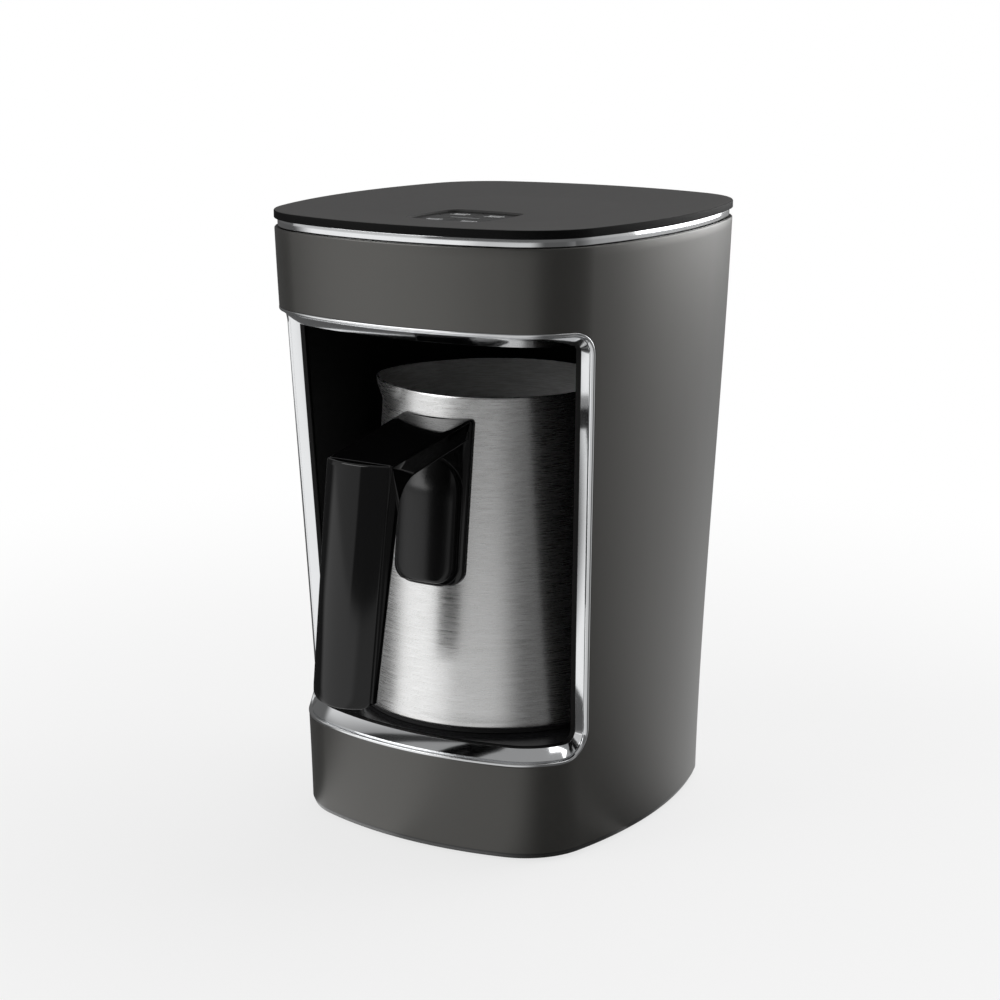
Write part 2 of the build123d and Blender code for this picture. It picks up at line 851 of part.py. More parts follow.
def key_places():
    return {
        side + "_" + end: (sx * key_pitch_x / 2, panel_y + sy * key_pitch_y / 2)
        for end, sy in (("front", -1), ("rear", 1))
        for side, sx in (("left", -1), ("right", 1))
    }


def key_prism(x, y, grow, low, high):
    corner = key_corner_radius + grow
    outline = RectangleRounded(key_width + 2 * grow, key_length + 2 * grow, corner)
    return extrude(Pos(x, y, low) * outline, amount=high - low)


board_top = lid_plate_under - control_board_drop
board_under = board_top - board_thickness
control_post_y = control_board_half - board_post_radius - board_post_margin
control_post_x = control_board_half - board_post_radius


def make_top_cover():
    rim = plan_slab(-lid_overhang, trim_top, lid_top)
    plug_inset = trim_inset + trim_width + fit_gap
    plug = plan_slab(plug_inset, trim_top - lid_rib_height, trim_top)
    pocket = plan_slab(plug_inset + lid_rib_width, trim_top - lid_rib_height - over, lid_plate_under)
    dish_low = plan_face(0.0, dish_bottom, scale=dish_scale)
    dish_high = plan_face(lid_rim_flat, lid_top, scale=1.0)
    dish = loft([dish_low, dish_high], ruled=True)
    cover = rim + plug - pocket - dish
    for x, y in four_corners(lid_boss_x, lid_boss_y):
        cover += upright_cylinder(lid_boss_radius, ear_top, lid_plate_under + over, x, y)
        cover -= upright_cylinder(small_screw_radius + screw_fit, ear_top - over, lid_plate_under, x, y)
    for x, y in four_corners(control_post_x, control_post_y, panel_y):
        cover += upright_cylinder(board_post_radius, board_top, lid_plate_under + over, x, y)
        cover -= upright_cylinder(small_screw_radius + screw_fit, board_top - over, lid_plate_under, x, y)
    cover -= extrude(panel_face(panel_gap, lid_plate_under - over), amount=2 * lid_plate_thickness)
    return cover


def make_control_panel():
    lip_top = lid_plate_under
    plate = extrude(panel_face(0.0, lip_top), amount=panel_top - lip_top)
    lip = extrude(panel_face(panel_lip, lip_top - panel_lip_thickness), amount=panel_lip_thickness)
    panel = plate + lip
    for x, y in key_places().values():
        panel -= key_prism(x, y, key_gap, lip_top - panel_lip_thickness - over, panel_top + over)
    slot_length = light_bar_length + 2 * panel_gap
    slot_width = light_bar_width + 2 * panel_gap
    panel -= block(
        -slot_length / 2,
        slot_length / 2,
        panel_y - slot_width / 2,
        panel_y + slot_width / 2,
        lip_top - panel_lip_thickness - over,
        panel_top + over,
    )
    return panel


key_flange_top = lid_plate_under - panel_lip_thickness - key_flange_gap
plunger_bottom = board_top + switch_height
stem_bottom = plunger_bottom + plunger_height


def make_key(x, y):
    cap = key_prism(x, y, 0.0, key_flange_top, panel_top)
    flange = key_prism(x, y, key_gap + key_flange, key_flange_top - key_flange_thickness, key_flange_top)
    stem = upright_cylinder(key_stem_radius, stem_bottom, key_flange_top, x, y)
    return cap + flange + stem


def make_switch_plunger(x, y):
    return upright_cylinder(plunger_radius, plunger_bottom - key_travel, stem_bottom, x, y)


def make_tact_switches():
    switches = []
    half = switch_side / 2
    for x, y in key_places().values():
        body = block(x - half, x + half, y - half, y + half, board_top, plunger_bottom)
        well = plunger_bottom - 2 * key_travel - fit_gap
        body -= upright_cylinder(plunger_radius + 2 * screw_fit, well, plunger_bottom + over, x, y)
        switches.append(body)
    return as_group(switches)


def make_light_bar():
    half_length = light_bar_length / 2
    half_width = light_bar_width / 2
    low = panel_top - light_bar_height
    return block(-half_length, half_length, panel_y - half_width, panel_y + half_width, low, panel_top)


def make_status_leds():
    leds = []
    for x in (-light_bar_length / 4, light_bar_length / 4):
        led = block(
            x - led_length / 2,
            x + led_length / 2,
            panel_y - led_width / 2,
            panel_y + led_width / 2,
            board_top,
            board_top + led_height,
        )
        leds.append(led)
    return as_group(leds)


def make_light_guide_holder():
    """A small frame on the board that carries the light bar over its diodes."""
    low = board_top
    high = panel_top - light_bar_height
    length = light_bar_length / 2 + panel_gap
    front = panel_y - light_holder_half_width
    rear = panel_y + light_holder_half_width
    frame = block(-length, length, front, rear, low, high)
    frame -= block(
        light_holder_wall - length,
        length - light_holder_wall,
        panel_y - led_width / 2 - fit_gap,
        panel_y + led_width / 2 + fit_gap,
        low - over,
        high - light_holder_roof,
    )
    return frame


def make_buzzer():
    y = panel_y + control_board_half - buzzer_radius - board_post_margin
    return upright_cylinder(buzzer_radius, board_top, board_top + buzzer_height, 0, y)


def make_control_board():
    board = block(
        -control_board_half,
        control_board_half,
        panel_y - control_board_half,
        panel_y + control_board_half,
        board_under,
        board_top,
    )
    for x, y in four_corners(control_post_x, control_post_y, panel_y):
        board -= upright_cylinder(small_screw_radius + fit_gap, board_under - over, board_top + over, x, y)
    return board


def make_screws_up(places, seat, length):
    """Small pan-head screws that point up, with their heads under the seat."""
    screws = []
    for x, y in places:
        head = upright_cylinder(2 * small_screw_radius, seat - small_screw_radius, seat, x, y)
        shank = upright_cylinder(small_screw_radius, seat, seat + length, x, y)
        screws.append(head + shank)
    return as_group(screws)


# ---- Rear power electronics -----------------------------------------------------------------
board_back = power_board_y + board_thickness


def make_power_board():
    half = power_board_width / 2
    top = power_board_bottom + power_board_height
    board = block(-half, half, power_board_y, board_back, power_board_bottom, top)
    hole_radius = small_screw_radius + fit_gap
    for x, z in power_board_holes():
        board -= cylinder_along_y(hole_radius, power_board_y - over, board_back + over, x, z)
    return board


def on_power_board(size, place):
    """A box-shaped component on the back of the power board; place is x and the height above its edge."""
    width, depth, height = size
    x, above_edge = place
    y = board_back + depth / 2
    return Pos(x, y, power_board_bottom + above_edge) * Box(width, depth, height)


def make_transformer():
    return on_power_board(transformer_size, transformer_place) + on_power_board(
        transformer_coil_size, transformer_place
    )


def make_board_screws():
    screws = []
    for x, z in power_board_holes():
        head = cylinder_along_y(2 * small_screw_radius, board_back, board_back + small_screw_radius, x, z)
        shank = cylinder_along_y(small_screw_radius, board_back - small_screw_length, board_back, x, z)
        screws.append(head + shank)
    return as_group(screws)


# ---- Foam sensor over the pot ---------------------------------------------------------------
def make_sensor_window():
    """A lens that drops through the chamber's ceiling and hangs on its rim."""
    rim_top = liner_top + window_rim_thickness
    lens = upright_cylinder(window_radius, ceiling, ceiling + window_thickness, 0, pot_axis_y)
    inner = window_radius - window_rim_thickness
    collar = ring(window_radius, inner, ceiling, rim_top, 0, pot_axis_y)
    rim = ring(window_radius + window_rim_width, inner, liner_top, rim_top, 0, pot_axis_y)
    return lens + collar + rim


sensor_seat = bracket_under + sensor_bracket_thickness


def make_sensor_bracket():
    half = sensor_bracket_half + board_post_radius
    front = pot_axis_y - sensor_bracket_half_depth
    rear = pot_axis_y + sensor_bracket_half_depth
    plate = block(-half, half, front, rear, bracket_under, sensor_seat)
    barrel_hole = sensor_radius + screw_fit
    screw_hole = small_screw_radius + fit_gap
    places = [(0, barrel_hole), (-sensor_bracket_half, screw_hole), (sensor_bracket_half, screw_hole)]
    for x, radius in places:
        plate -= upright_cylinder(radius, bracket_under - over, sensor_seat + over, x, pot_axis_y)
    return plate


def make_foam_sensor():
    low = liner_top + sensor_stand_off
    barrel = upright_cylinder(sensor_radius, low, low + sensor_height, 0, pot_axis_y)
    board = block(
        -sensor_board_half_width,
        sensor_board_half_width,
        pot_axis_y - sensor_board_half_depth,
        pot_axis_y + sensor_board_half_depth,
        sensor_seat,
        sensor_seat + sensor_board_thickness,
    )
    return barrel + board


def make_sensor_screws():
    screws = []
    for x in (-sensor_bracket_half, sensor_bracket_half):
        head_top = sensor_seat + small_screw_radius
        head = upright_cylinder(2 * small_screw_radius, sensor_seat, head_top, x, pot_axis_y)
        shank = upright_cylinder(small_screw_radius, liner_top + over, sensor_seat, x, pot_axis_y)
        screws.append(head + shank)
    return as_group(screws)


# ---- Pot ------------------------------------------------------------------------------------
def pot_radius(z):
    return pot_base_radius - (z - pot_bottom) * pot_slope


def pot_cone(offset, low, high):
    """The pot's cone between two heights, grown by offset."""
    cone = Cone(pot_radius(low) + offset, pot_radius(high) + offset, high - low)
    return Pos(0, pot_axis_y, (low + high) / 2) * cone


def spout_form(offset):
    """A beak that grows out of the cone towards -X: a ruled wedge with a rounded nose."""
    low = pot_top - spout_drop
    sections = []
    for z, reach_out in ((low, -spout_root_inset), (pot_top, spout_reach)):
        radius = pot_radius(z) + offset
        nose = radius + reach_out
        side_x = radius * cos(radians(spout_half_angle))
        side_y = radius * sin(radians(spout_half_angle))
        path = FilletPolyline(
            (-side_x, pot_axis_y - side_y),
            (-nose, pot_axis_y),
            (-side_x, pot_axis_y + side_y),
            radius=spout_tip_radius,
        )
        back = [
            Line((-side_x, pot_axis_y + side_y), (0, pot_axis_y)).edge(),
            Line((0, pot_axis_y), (-side_x, pot_axis_y - side_y)).edge(),
        ]
        sections.append(Pos(0, 0, z) * make_face(Wire(path.edges() + back)))
    return loft(sections, ruled=True)


def make_pot_body():
    outside = pot_cone(0.0, pot_bottom, pot_top) + spout_form(0.0)
    inside = pot_cone(-pot_wall, pot_bottom + pot_wall, pot_top) + spout_form(-pot_wall)
    return outside - inside


def make_pot_base_disc():
    radius = pot_ring_radius - pot_ring_width - fit_gap
    return upright_cylinder(radius, pot_bottom - pot_disc_height, pot_bottom, 0, pot_axis_y)


def make_pot_base_ring():
    low = pot_bottom - pot_ring_height
    return ring(pot_ring_radius, pot_ring_radius - pot_ring_width, low, pot_bottom, 0, pot_axis_y)


# ---- Pot handle -----------------------------------------------------------------------------
saddle_top = pot_top - saddle_top_below_rim
saddle_bottom = saddle_top - saddle_height
saddle_front_y = pot_axis_y - pot_radius(saddle_top)
bridge_front_y = saddle_front_y - bridge_reach
bridge_front_z = saddle_top - bridge_drop
grip_bottom = bridge_front_z - grip_length
front_end_y = bridge_front_y - grip_rake - cover_side - cover_bulge
middle_y = (front_end_y + body_half_depth + lid_overhang) / 2


def seam_y(z):
    """Where the grip's front cover meets its back, on the raked grip."""
    return bridge_front_y - (bridge_front_z - z) / grip_length * grip_rake


def bridge_plan():
    """The bridge's outline seen from above: it narrows from the saddle to the bend of the grip."""
    bend_y = bridge_front_y + grip_back_thickness + bridge_fillet
    right_side = [
        (grip_top_half_width, bend_y),
        (bridge_half_width, saddle_front_y),
        (bridge_half_width, pot_axis_y),
    ]
    left_side = [(-x, y) for x, y in reversed(right_side)]
    outline = make_face(Polyline(*right_side, *left_side, close=True))
    return extrude(Pos(0, 0, grip_bottom) * outline, amount=saddle_top - grip_bottom)


def grip_prism(high):
    """The grip's outline seen from the front: it narrows downwards from the foot of the bend."""
    bend_z = bridge_front_z - bridge_thickness - bridge_fillet
    right_side = [
        (grip_bottom_half_width, grip_bottom),
        (grip_top_half_width, bend_z),
        (grip_top_half_width, high),
    ]
    left_side = [(-x, z) for x, z in reversed(right_side)]
    outline = make_face(Polyline(*right_side, *left_side, close=True))
    outline = fillet(outline.vertices().group_by(Axis.Y)[0], grip_corner_radius)
    return extrude(Plane.XZ.offset(-pot_axis_y) * outline, amount=reach)


def arch_prism(half_width, low, high, lower_radius, round_top):
    """A plate outline in the XZ plane, pushed through the front half of the pot."""
    top_radius = half_width - fit_gap if round_top else over
    plate = Pos(0, (low + high) / 2) * Rectangle(2 * half_width, high - low)
    lower = plate.vertices().group_by(Axis.Y)[0]
    plate = fillet(lower, lower_radius)
    upper = plate.vertices().group_by(Axis.Y)[-1]
    plate = fillet(upper, top_radius)
    return extrude(Plane.XZ.offset(-pot_axis_y) * plate, amount=reach)


def make_handle_bracket():
    high = saddle_top - bracket_below_saddle_top
    low = high - bracket_height
    strap = pot_cone(contact_gap + bracket_thickness, low, high)
    strap -= pot_cone(contact_gap, low - over, high + over)
    strap &= block(-bracket_half_width, bracket_half_width, -reach, pot_axis_y, low, high)
    for z in handle_screw_heights():
        strap -= cylinder_along_y(handle_screw_radius + screw_fit, -reach, pot_axis_y, 0, z)
    return strap


def handle_screw_heights():
    middle = saddle_top - bracket_below_saddle_top - bracket_height / 2
    return (middle - handle_screw_spacing / 2, middle + handle_screw_spacing / 2)


def make_handle_body():
    saddle = pot_cone(saddle_thickness, saddle_bottom, saddle_top)
    saddle &= arch_prism(saddle_half_width, saddle_bottom, saddle_top, saddle_corner_radius, False)
    profile = [
        (pot_axis_y, saddle_top),
        (saddle_front_y, saddle_top),
        (bridge_front_y, bridge_front_z),
        (seam_y(grip_bottom), grip_bottom),
        (seam_y(grip_bottom) + grip_back_thickness, grip_bottom),
        (bridge_front_y + grip_back_thickness, bridge_front_z - bridge_thickness),
        (saddle_front_y, saddle_top - bridge_thickness),
        (pot_axis_y, saddle_top - bridge_thickness),
    ]
    arm_face = make_face(Polyline(*profile, close=True))
    inner_corner = arm_face.vertices().sort_by_distance((profile[5][0], profile[5][1], 0))[0]
    arm_face = fillet(inner_corner, bridge_fillet)
    grip = extrude(Plane.YZ * arm_face, amount=grip_top_half_width, both=True) & grip_prism(saddle_top)
    bridge = extrude(Plane.YZ * arm_face, amount=bridge_half_width, both=True) & bridge_plan()
    body = saddle + grip + bridge - pot_cone(contact_gap, saddle_bottom - over, saddle_top + over)
    high = saddle_top - bracket_below_saddle_top + fit_gap
    low = high - bracket_height - 2 * fit_gap
    pocket_width = bracket_half_width + fit_gap
    pocket = pot_cone(contact_gap + bracket_thickness + fit_gap, low, high)
    body -= pocket & block(-pocket_width, pocket_width, -reach, pot_axis_y, low, high)
    for z in handle_screw_heights():
        hole_end = pot_axis_y - pot_radius(z) - saddle_thickness - 3 * over
        body -= cylinder_along_y(handle_screw_radius + fit_gap, hole_end, pot_axis_y, 0, z)
    return body


def make_handle_cover():
    top_face_y = seam_y(bridge_front_z)
    front = -cover_side
    face = make_face(
        Wire(
            [
                Line((-grip_top_half_width, 0), (grip_top_half_width, 0)).edge(),
                Line((grip_top_half_width, 0), (grip_top_half_width, front)).edge(),
                ThreePointArc(
                    (grip_top_half_width, front), (0, front - cover_bulge), (-grip_top_half_width, front)
                ).edge(),
                Line((-grip_top_half_width, front), (-grip_top_half_width, 0)).edge(),
            ]
        )
    )
    down = Vector(0, -grip_rake, -grip_length)
    face = Pos(0, top_face_y - screw_fit, bridge_front_z) * face
    shell = extrude(face, amount=down.length, dir=down.normalized())
    return shell & grip_prism(bridge_front_z)


def make_handle_pad():
    high = saddle_top - pad_below_saddle_top
    low = high - pad_height
    inner = saddle_thickness + contact_gap
    pad = pot_cone(inner + pad_thickness, low, high) - pot_cone(inner, low - over, high + over)
    pad &= arch_prism(pad_half_width, low, high, saddle_corner_radius, True)
    for z in handle_screw_heights():
        seat = pot_axis_y - pot_radius(z) - inner
        depth = handle_screw_head_height + 2 * fit_gap + handle_screw_head_radius * pot_slope
        pad -= cylinder_along_y(handle_screw_head_radius + fit_gap, seat - depth, pot_axis_y, 0, z)
    return pad


def make_handle_screws():
    screws = []
    for z in handle_screw_heights():
        wall_y = pot_axis_y - pot_radius(z)
        seat = wall_y - saddle_thickness - handle_screw_head_radius * pot_slope - contact_gap
        head = cylinder_along_y(handle_screw_head_radius, seat - handle_screw_head_height, seat, 0, z)
        tip = wall_y - 3 * contact_gap - handle_screw_radius * pot_slope
        shank = cylinder_along_y(handle_screw_radius, seat, tip, 0, z)
        screws.append(head + shank)
    return as_group(screws)


# ---- Wiring inside the housing --------------------------------------------------------------
def routed_cable(points):
    """Round bundle along straight runs joined by tangent arcs, and its arc radii."""
    points = [Vector(*point) for point in points]
    radii = []
    for before, corner, after in zip(points, points[1:], points[2:]):
        run_in = (corner - before)
        run_out = (after - corner)
        turn = run_in.get_angle(run_out)
        radii.append(0.45 * min(run_in.length, run_out.length) / tan(radians(turn / 2)))
    path = FilletPolyline(*points, radius=radii)
    section = Plane(path @ 0, z_dir=path % 0) * Circle(wire_bundle_radius)
    bundle = sweep(section, path=path)
    expected = pi * wire_bundle_radius**2 * path.length
    print("cable radii", [round(radius, 1) for radius in radii])
    print("cable volume share", round(bundle.volume / expected, 4))
    return bundle


def make_element_harness():
    """From the power board's lower edge down and forward to the element's cold pins."""
    centre_z = plate_under - element_tube_radius - screw_fit
    pin_end = centre_z - element_pin_length
    start_y = power_board_y + board_thickness / 2
    x = element_ring_radius * sin(radians(element_gap_angle / 2))
    pin_y = pot_axis_y + element_ring_radius * cos(radians(element_gap_angle / 2))
    return routed_cable(
        [
            (x, start_y, power_board_bottom),
            (x, start_y, power_board_bottom - element_wire_drop),
            (x, start_y - element_wire_slope, pin_end - element_wire_dip),
            (x, pin_y + element_wire_approach, pin_end - element_wire_dip - over),
            (x, pin_y, pin_end - element_wire_approach),
            (x, pin_y, pin_end),
        ]
    )


def make_panel_harness():
    """From the power board's upper edge up and over the chamber to the control board."""
    start_y = power_board_y + board_thickness / 2
    end_y = panel_y + control_board_half - panel_wire_inset
    x = panel_wire_x
    low_z = liner_top + panel_wire_over - panel_wire_inset
    return routed_cable(
        [
            (x, start_y, power_board_bottom + power_board_height),
            (x, start_y, liner_top - panel_wire_low),
            (x, start_y + over, liner_top - panel_wire_high),
            (x, start_y - panel_wire_forward, liner_top + panel_wire_over),
            (x, start_y - panel_wire_far, low_z),
            (x, end_y, low_z + over),
            (x, end_y, board_under),
        ]
    )


# ---- Everything, node by node ---------------------------------------------------------------
save("outer_housing", make_outer_housing())
save("front_bezel", make_front_bezel())
save("cavity_liner", make_cavity_liner())
save("pot_platform", make_pot_platform())
save("heating_plate", make_heating_plate())
save("plate_seal", make_plate_seal())
save("heating_element", make_heating_element())
save("heat_shield", make_heat_shield())
save("thermostat", make_thermostat())
save("thermal_fuse", make_thermal_fuse())
save("fuse_clip", make_fuse_clip())
save("temperature_sensor", make_temperature_sensor())
save("shield_screws", make_shield_screws())
save("base_cover", make_base_cover())
save("base_screws", make_base_screws())
for index, (x, y) in enumerate(four_corners(foot_x, post_y)):
    name = "foot_" + ("front", "rear")[index // 2] + "_" + ("left", "right")[index % 2]
    save(name, upright_cylinder(foot_radius, 0.0, foot_thickness, x, y))
save("cord_gland", make_cord_gland())
save("trim_ring", make_trim_ring())
save("top_cover", make_top_cover())
save("control_panel", make_control_panel())
for place, (x, y) in key_places().items():
    save("key_" + place, make_key(x, y))
    save("switch_plunger_" + place, make_switch_plunger(x, y))
save("tact_switches", make_tact_switches())
save("light_bar", make_light_bar())
save("light_guide_holder", make_light_guide_holder())
save("status_leds", make_status_leds())
save("buzzer", make_buzzer())
save("control_board", make_control_board())
control_places = four_corners(control_post_x, control_post_y, panel_y)
save("control_board_screws", make_screws_up(control_places, board_under, small_screw_length))
save("lid_screws", make_screws_up(four_corners(lid_boss_x, lid_boss_y), ear_seat, small_screw_length))
save("power_board", make_power_board())
save("transformer", make_transformer())
save("relay", on_power_board(relay_size, relay_place))
save("filter_capacitor", on_power_board(capacitor_size, capacitor_place))
save("terminal_block", on_power_board(terminal_size, terminal_place))
save("board_screws", make_board_screws())
save("sensor_window", make_sensor_window())
save("sensor_bracket", make_sensor_bracket())
save("foam_sensor", make_foam_sensor())
save("sensor_screws", make_sensor_screws())
save("element_harness", make_element_harness())
save("panel_harness", make_panel_harness())
save("pot_body", make_pot_body())
save("pot_base_disc", make_pot_base_disc())
save("pot_base_ring", make_pot_base_ring())
save("handle_bracket", make_handle_bracket())
save("handle_body", make_handle_body())
save("handle_cover", make_handle_cover())
save("handle_pad", make_handle_pad())
save("handle_screws", make_handle_screws())
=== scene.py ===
"""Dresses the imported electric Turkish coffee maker: smooth shells, chrome, steel and gloss black."""
import json
from math import atan2, hypot, pi, radians, sqrt, tan

import bpy
import numpy as np
from bpy.props import FloatProperty, FloatVectorProperty, PointerProperty
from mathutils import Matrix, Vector


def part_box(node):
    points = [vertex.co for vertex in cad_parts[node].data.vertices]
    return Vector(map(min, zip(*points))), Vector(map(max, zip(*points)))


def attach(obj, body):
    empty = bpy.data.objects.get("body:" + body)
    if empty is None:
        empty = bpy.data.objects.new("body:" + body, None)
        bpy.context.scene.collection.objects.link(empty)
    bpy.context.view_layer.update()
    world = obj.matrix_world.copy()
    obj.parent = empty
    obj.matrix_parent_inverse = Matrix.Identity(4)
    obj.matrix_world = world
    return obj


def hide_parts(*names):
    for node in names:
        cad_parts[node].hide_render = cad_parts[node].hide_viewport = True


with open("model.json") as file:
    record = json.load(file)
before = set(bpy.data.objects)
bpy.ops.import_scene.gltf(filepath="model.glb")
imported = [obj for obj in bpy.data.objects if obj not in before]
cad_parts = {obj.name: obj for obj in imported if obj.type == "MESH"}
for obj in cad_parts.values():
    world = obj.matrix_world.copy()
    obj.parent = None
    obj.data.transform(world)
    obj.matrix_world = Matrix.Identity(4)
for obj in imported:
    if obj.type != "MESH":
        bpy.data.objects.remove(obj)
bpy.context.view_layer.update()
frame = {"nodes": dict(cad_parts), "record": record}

bl_info = {
    "name": "Turkish Coffee Maker Dress",
    "version": (1, 0, 0),
    "blender": (4, 5, 0),
    "location": "3D View > Sidebar > Coffee Maker",
    "description": "Builds the visible shells and finishes of an electric Turkish coffee maker",
    "category": "Object",
}

MM = 0.001
FOOT_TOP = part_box("foot_front_left")[1].z
BODY_LOW, BODY_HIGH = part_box("outer_housing")
MIDDLE_Y = (BODY_LOW.y + BODY_HIGH.y) / 2
POT_AXIS_Y = (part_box("pot_base_ring")[0].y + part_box("pot_base_ring")[1].y) / 2


# ---- Sizes and colours that a user would change ---------------------------------------------
def length(name, description, millimetres):
    return FloatProperty(
        name=name, description=description, default=millimetres * MM, subtype="DISTANCE", unit="LENGTH"
    )


def angle(name, description, degrees):
    return FloatProperty(
        name=name, description=description, default=radians(degrees), subtype="ANGLE", unit="ROTATION"
    )


def share(name, description, default):
    return FloatProperty(name=name, description=description, default=default, min=0.0, soft_max=1.0)


def colour(name, description, default):
    return FloatVectorProperty(
        name=name, description=description, default=default, size=3, min=0.0, max=1.0, subtype="COLOR"
    )


class BodySizes(bpy.types.PropertyGroup):
    half_width: length("Half width", "Half the body's width at its top edge", 79.0)
    half_depth: length("Half depth", "Half the body's depth at its top edge", 86.0)
    corner: length("Corner radius", "Radius of the upright corners in plan", 35.0)
    front_arc: length("Front arc", "Radius of the bowed front and back", 168.0)
    side_arc: length("Side arc", "Radius of the bowed sides", 204.0)
    base_half_width: length("Base half width", "Half the body's width at its foot", 70.3)
    bottom: length("Bottom", "Height of the shell's lower edge", 1.5)
    top: length("Top", "Height of the shell's upper edge", 239.5)
    lean_base: angle("Lean at base", "Lean of the side walls at the foot", 0.70)
    lean_top: angle("Lean at top", "Lean of the side walls at the top", 1.55)
    wall: length("Wall", "Thickness of the shell", 2.3)
    chamfer_height: length("Chamfer height", "Height of the band round the foot", 2.0)
    chamfer_inset: length("Chamfer inset", "How far the band draws in", 0.8)


class OpeningSizes(bpy.types.PropertyGroup):
    low: length("Sill", "Height of the opening's lower edge", 39.5)
    high: length("Head", "Height of the opening's upper edge", 208.5)
    jamb_low: length("Jamb at sill", "How far the jamb stands before the body's middle, low", 45.4)
    jamb_high: length("Jamb at head", "How far the jamb stands before the body's middle, high", 53.0)
    radius_low: length("Lower corner", "Radius of the lower corners", 13.0)
    radius_high: length("Upper corner", "Radius of the upper corners", 9.5)
    lip: length("Lip", "Width of the bright outer lip", 1.4)
    band: length("Band", "Height of the splayed band at sill and head", 5.8)
    depth: length("Depth", "How deep the splayed band goes in", 5.6)
    draw_low: length("Lower draw", "How much tighter the lower corners are inside the band", 8.0)
    draw_high: length("Upper draw", "How much tighter the upper corners are inside the band", 7.0)


class LidSizes(bpy.types.PropertyGroup):
    trim_inset: length("Trim inset", "How far the bright ring stands in from the body", 1.3)
    trim_top: length("Trim top", "Height of the bright ring's upper edge", 242.9)
    top: length("Lid top", "Height of the lid's rim", 246.1)
    dish: length("Dish", "How deep the lid is dished", 2.1)
    rim: length("Rim", "Width of the flat rim round the dish", 2.0)
    edge: length("Edge radius", "Rounding of the lid's edge", 0.55)
    panel_y: length("Panel place", "Where the panel lies before the body's middle", 31.5)
    panel_half_width: length("Panel half width", "Half the panel's width", 18.5)
    panel_half_length: length("Panel half length", "Half the panel's length", 19.2)
    panel_recess: length("Panel recess", "How far the panel lies under the dish", 0.8)
    panel_corner: length("Panel corner", "Radius of the panel's corners", 5.0)
    panel_bow: length("Panel bow", "Radius of the panel's bowed sides", 90.0)


class PotSizes(bpy.types.PropertyGroup):
    base: length("Base radius", "Outer radius at the pot's foot", 58.3)
    rim: length("Rim radius", "Outer radius at the pot's rim", 44.2)
    bottom: length("Bottom", "Height of the steel's lower edge", 47.5)
    top: length("Top", "Height of the rim", 177.1)
    wall: length("Wall", "Thickness of the steel", 1.0)
    spout_turn: angle("Spout turn", "How far the spout turns from the left towards the handle", 17.0)
    spout_reach: length("Spout reach", "How far the spout's lip stands out at the rim", 4.3)
    spout_width: angle("Spout width", "Half the angle that the spout's lip takes up", 47.0)
    spout_depth: length("Spout depth", "How far the crease of the lip lies under the rim", 8.8)
    swell: length("Swell", "How far the wall swells under the lip", 2.1)
    swell_width: angle("Swell width", "Angle over which the swell fades out", 32.0)
    swell_drop: length("Swell drop", "How far the swell runs down the wall", 46.0)


class HandleSizes(bpy.types.PropertyGroup):
    bridge_half_width: length("Bridge half width", "Half the width of the bridge at the pot", 15.5)
    top_half_width: length("Grip half width at top", "Half the width of the grip at its bend", 14.2)
    foot_half_width: length("Grip half width at foot", "Half the width of the grip at its foot", 13.3)
    saddle_half_width: length("Saddle half width", "Half the width of the plate on the pot", 16.3)
    saddle_low: length("Saddle low", "Height of the plate's lower edge", 103.8)
    saddle_high: length("Saddle high", "Height of the plate's upper edge", 168.8)
    saddle: length("Saddle thickness", "Thickness of the plate", 2.4)
    reach: length("Reach", "How far the grip stands from the pot", 50.5)
    drop: length("Drop", "How far the bridge falls to the grip", 8.3)
    bridge: length("Bridge thickness", "Thickness of the bridge", 8.0)
    grip_length: length("Grip length", "Length of the grip", 90.5)
    rake: length("Rake", "How far the grip's foot stands out", 13.4)
    back: length("Back thickness", "Thickness of the grip behind its cover", 6.6)
    foot_corner: length("Foot corner", "Radius of the corners at the grip's foot", 5.0)
    side: length("Cover side", "Height of the cover's side walls", 1.0)
    bulge: length("Cover bulge", "How far the cover bulges", 3.2)
    pad_half_width: length("Pad half width", "Half the width of the pad", 13.4)
    pad_low: length("Pad low", "Height of the pad's lower edge", 105.1)
    pad_high: length("Pad high", "Height of the pad's top", 153.3)
    pad: length("Pad thickness", "How far the pad bulges", 4.0)


class FinishColours(bpy.types.PropertyGroup):
    paint: colour("Body paint", "Warm dark grey of the housing", (0.092, 0.090, 0.084))
    # painted shade: the near-black foot chamfer stands in for its dark reflection of the shaded floor
    band: colour("Foot band", "Black band round the foot", (0.012, 0.012, 0.012))
    lid: colour("Lid", "Dark grey of the grained lid", (0.084, 0.083, 0.082))
    lid_edge: colour("Lid edge", "Near-black side of the lid", (0.003, 0.003, 0.003))
    black: colour("Gloss black", "Black of handle and panel", (0.003, 0.003, 0.0032))
    chrome: colour("Chrome", "Bright trim", (0.80, 0.81, 0.82))
    steel: colour("Steel", "Brushed pot", (0.96, 0.96, 0.95))
    steel_inside: colour("Steel inside", "Dull inside of the pot", (0.88, 0.88, 0.87))
    rubber: colour("Rubber", "Feet, base ring and gland", (0.020, 0.020, 0.021))
    mark: colour("Marks", "Icons on the keys", (0.72, 0.73, 0.74))
    lamps: share("Lamps", "Strength of the three studio lamps", 1.0)
    floor: colour("Floor", "Pale floor", (0.86, 0.86, 0.86))


def sizes(group):
    """The values of one property group of the scene."""
    return getattr(bpy.context.scene, group)


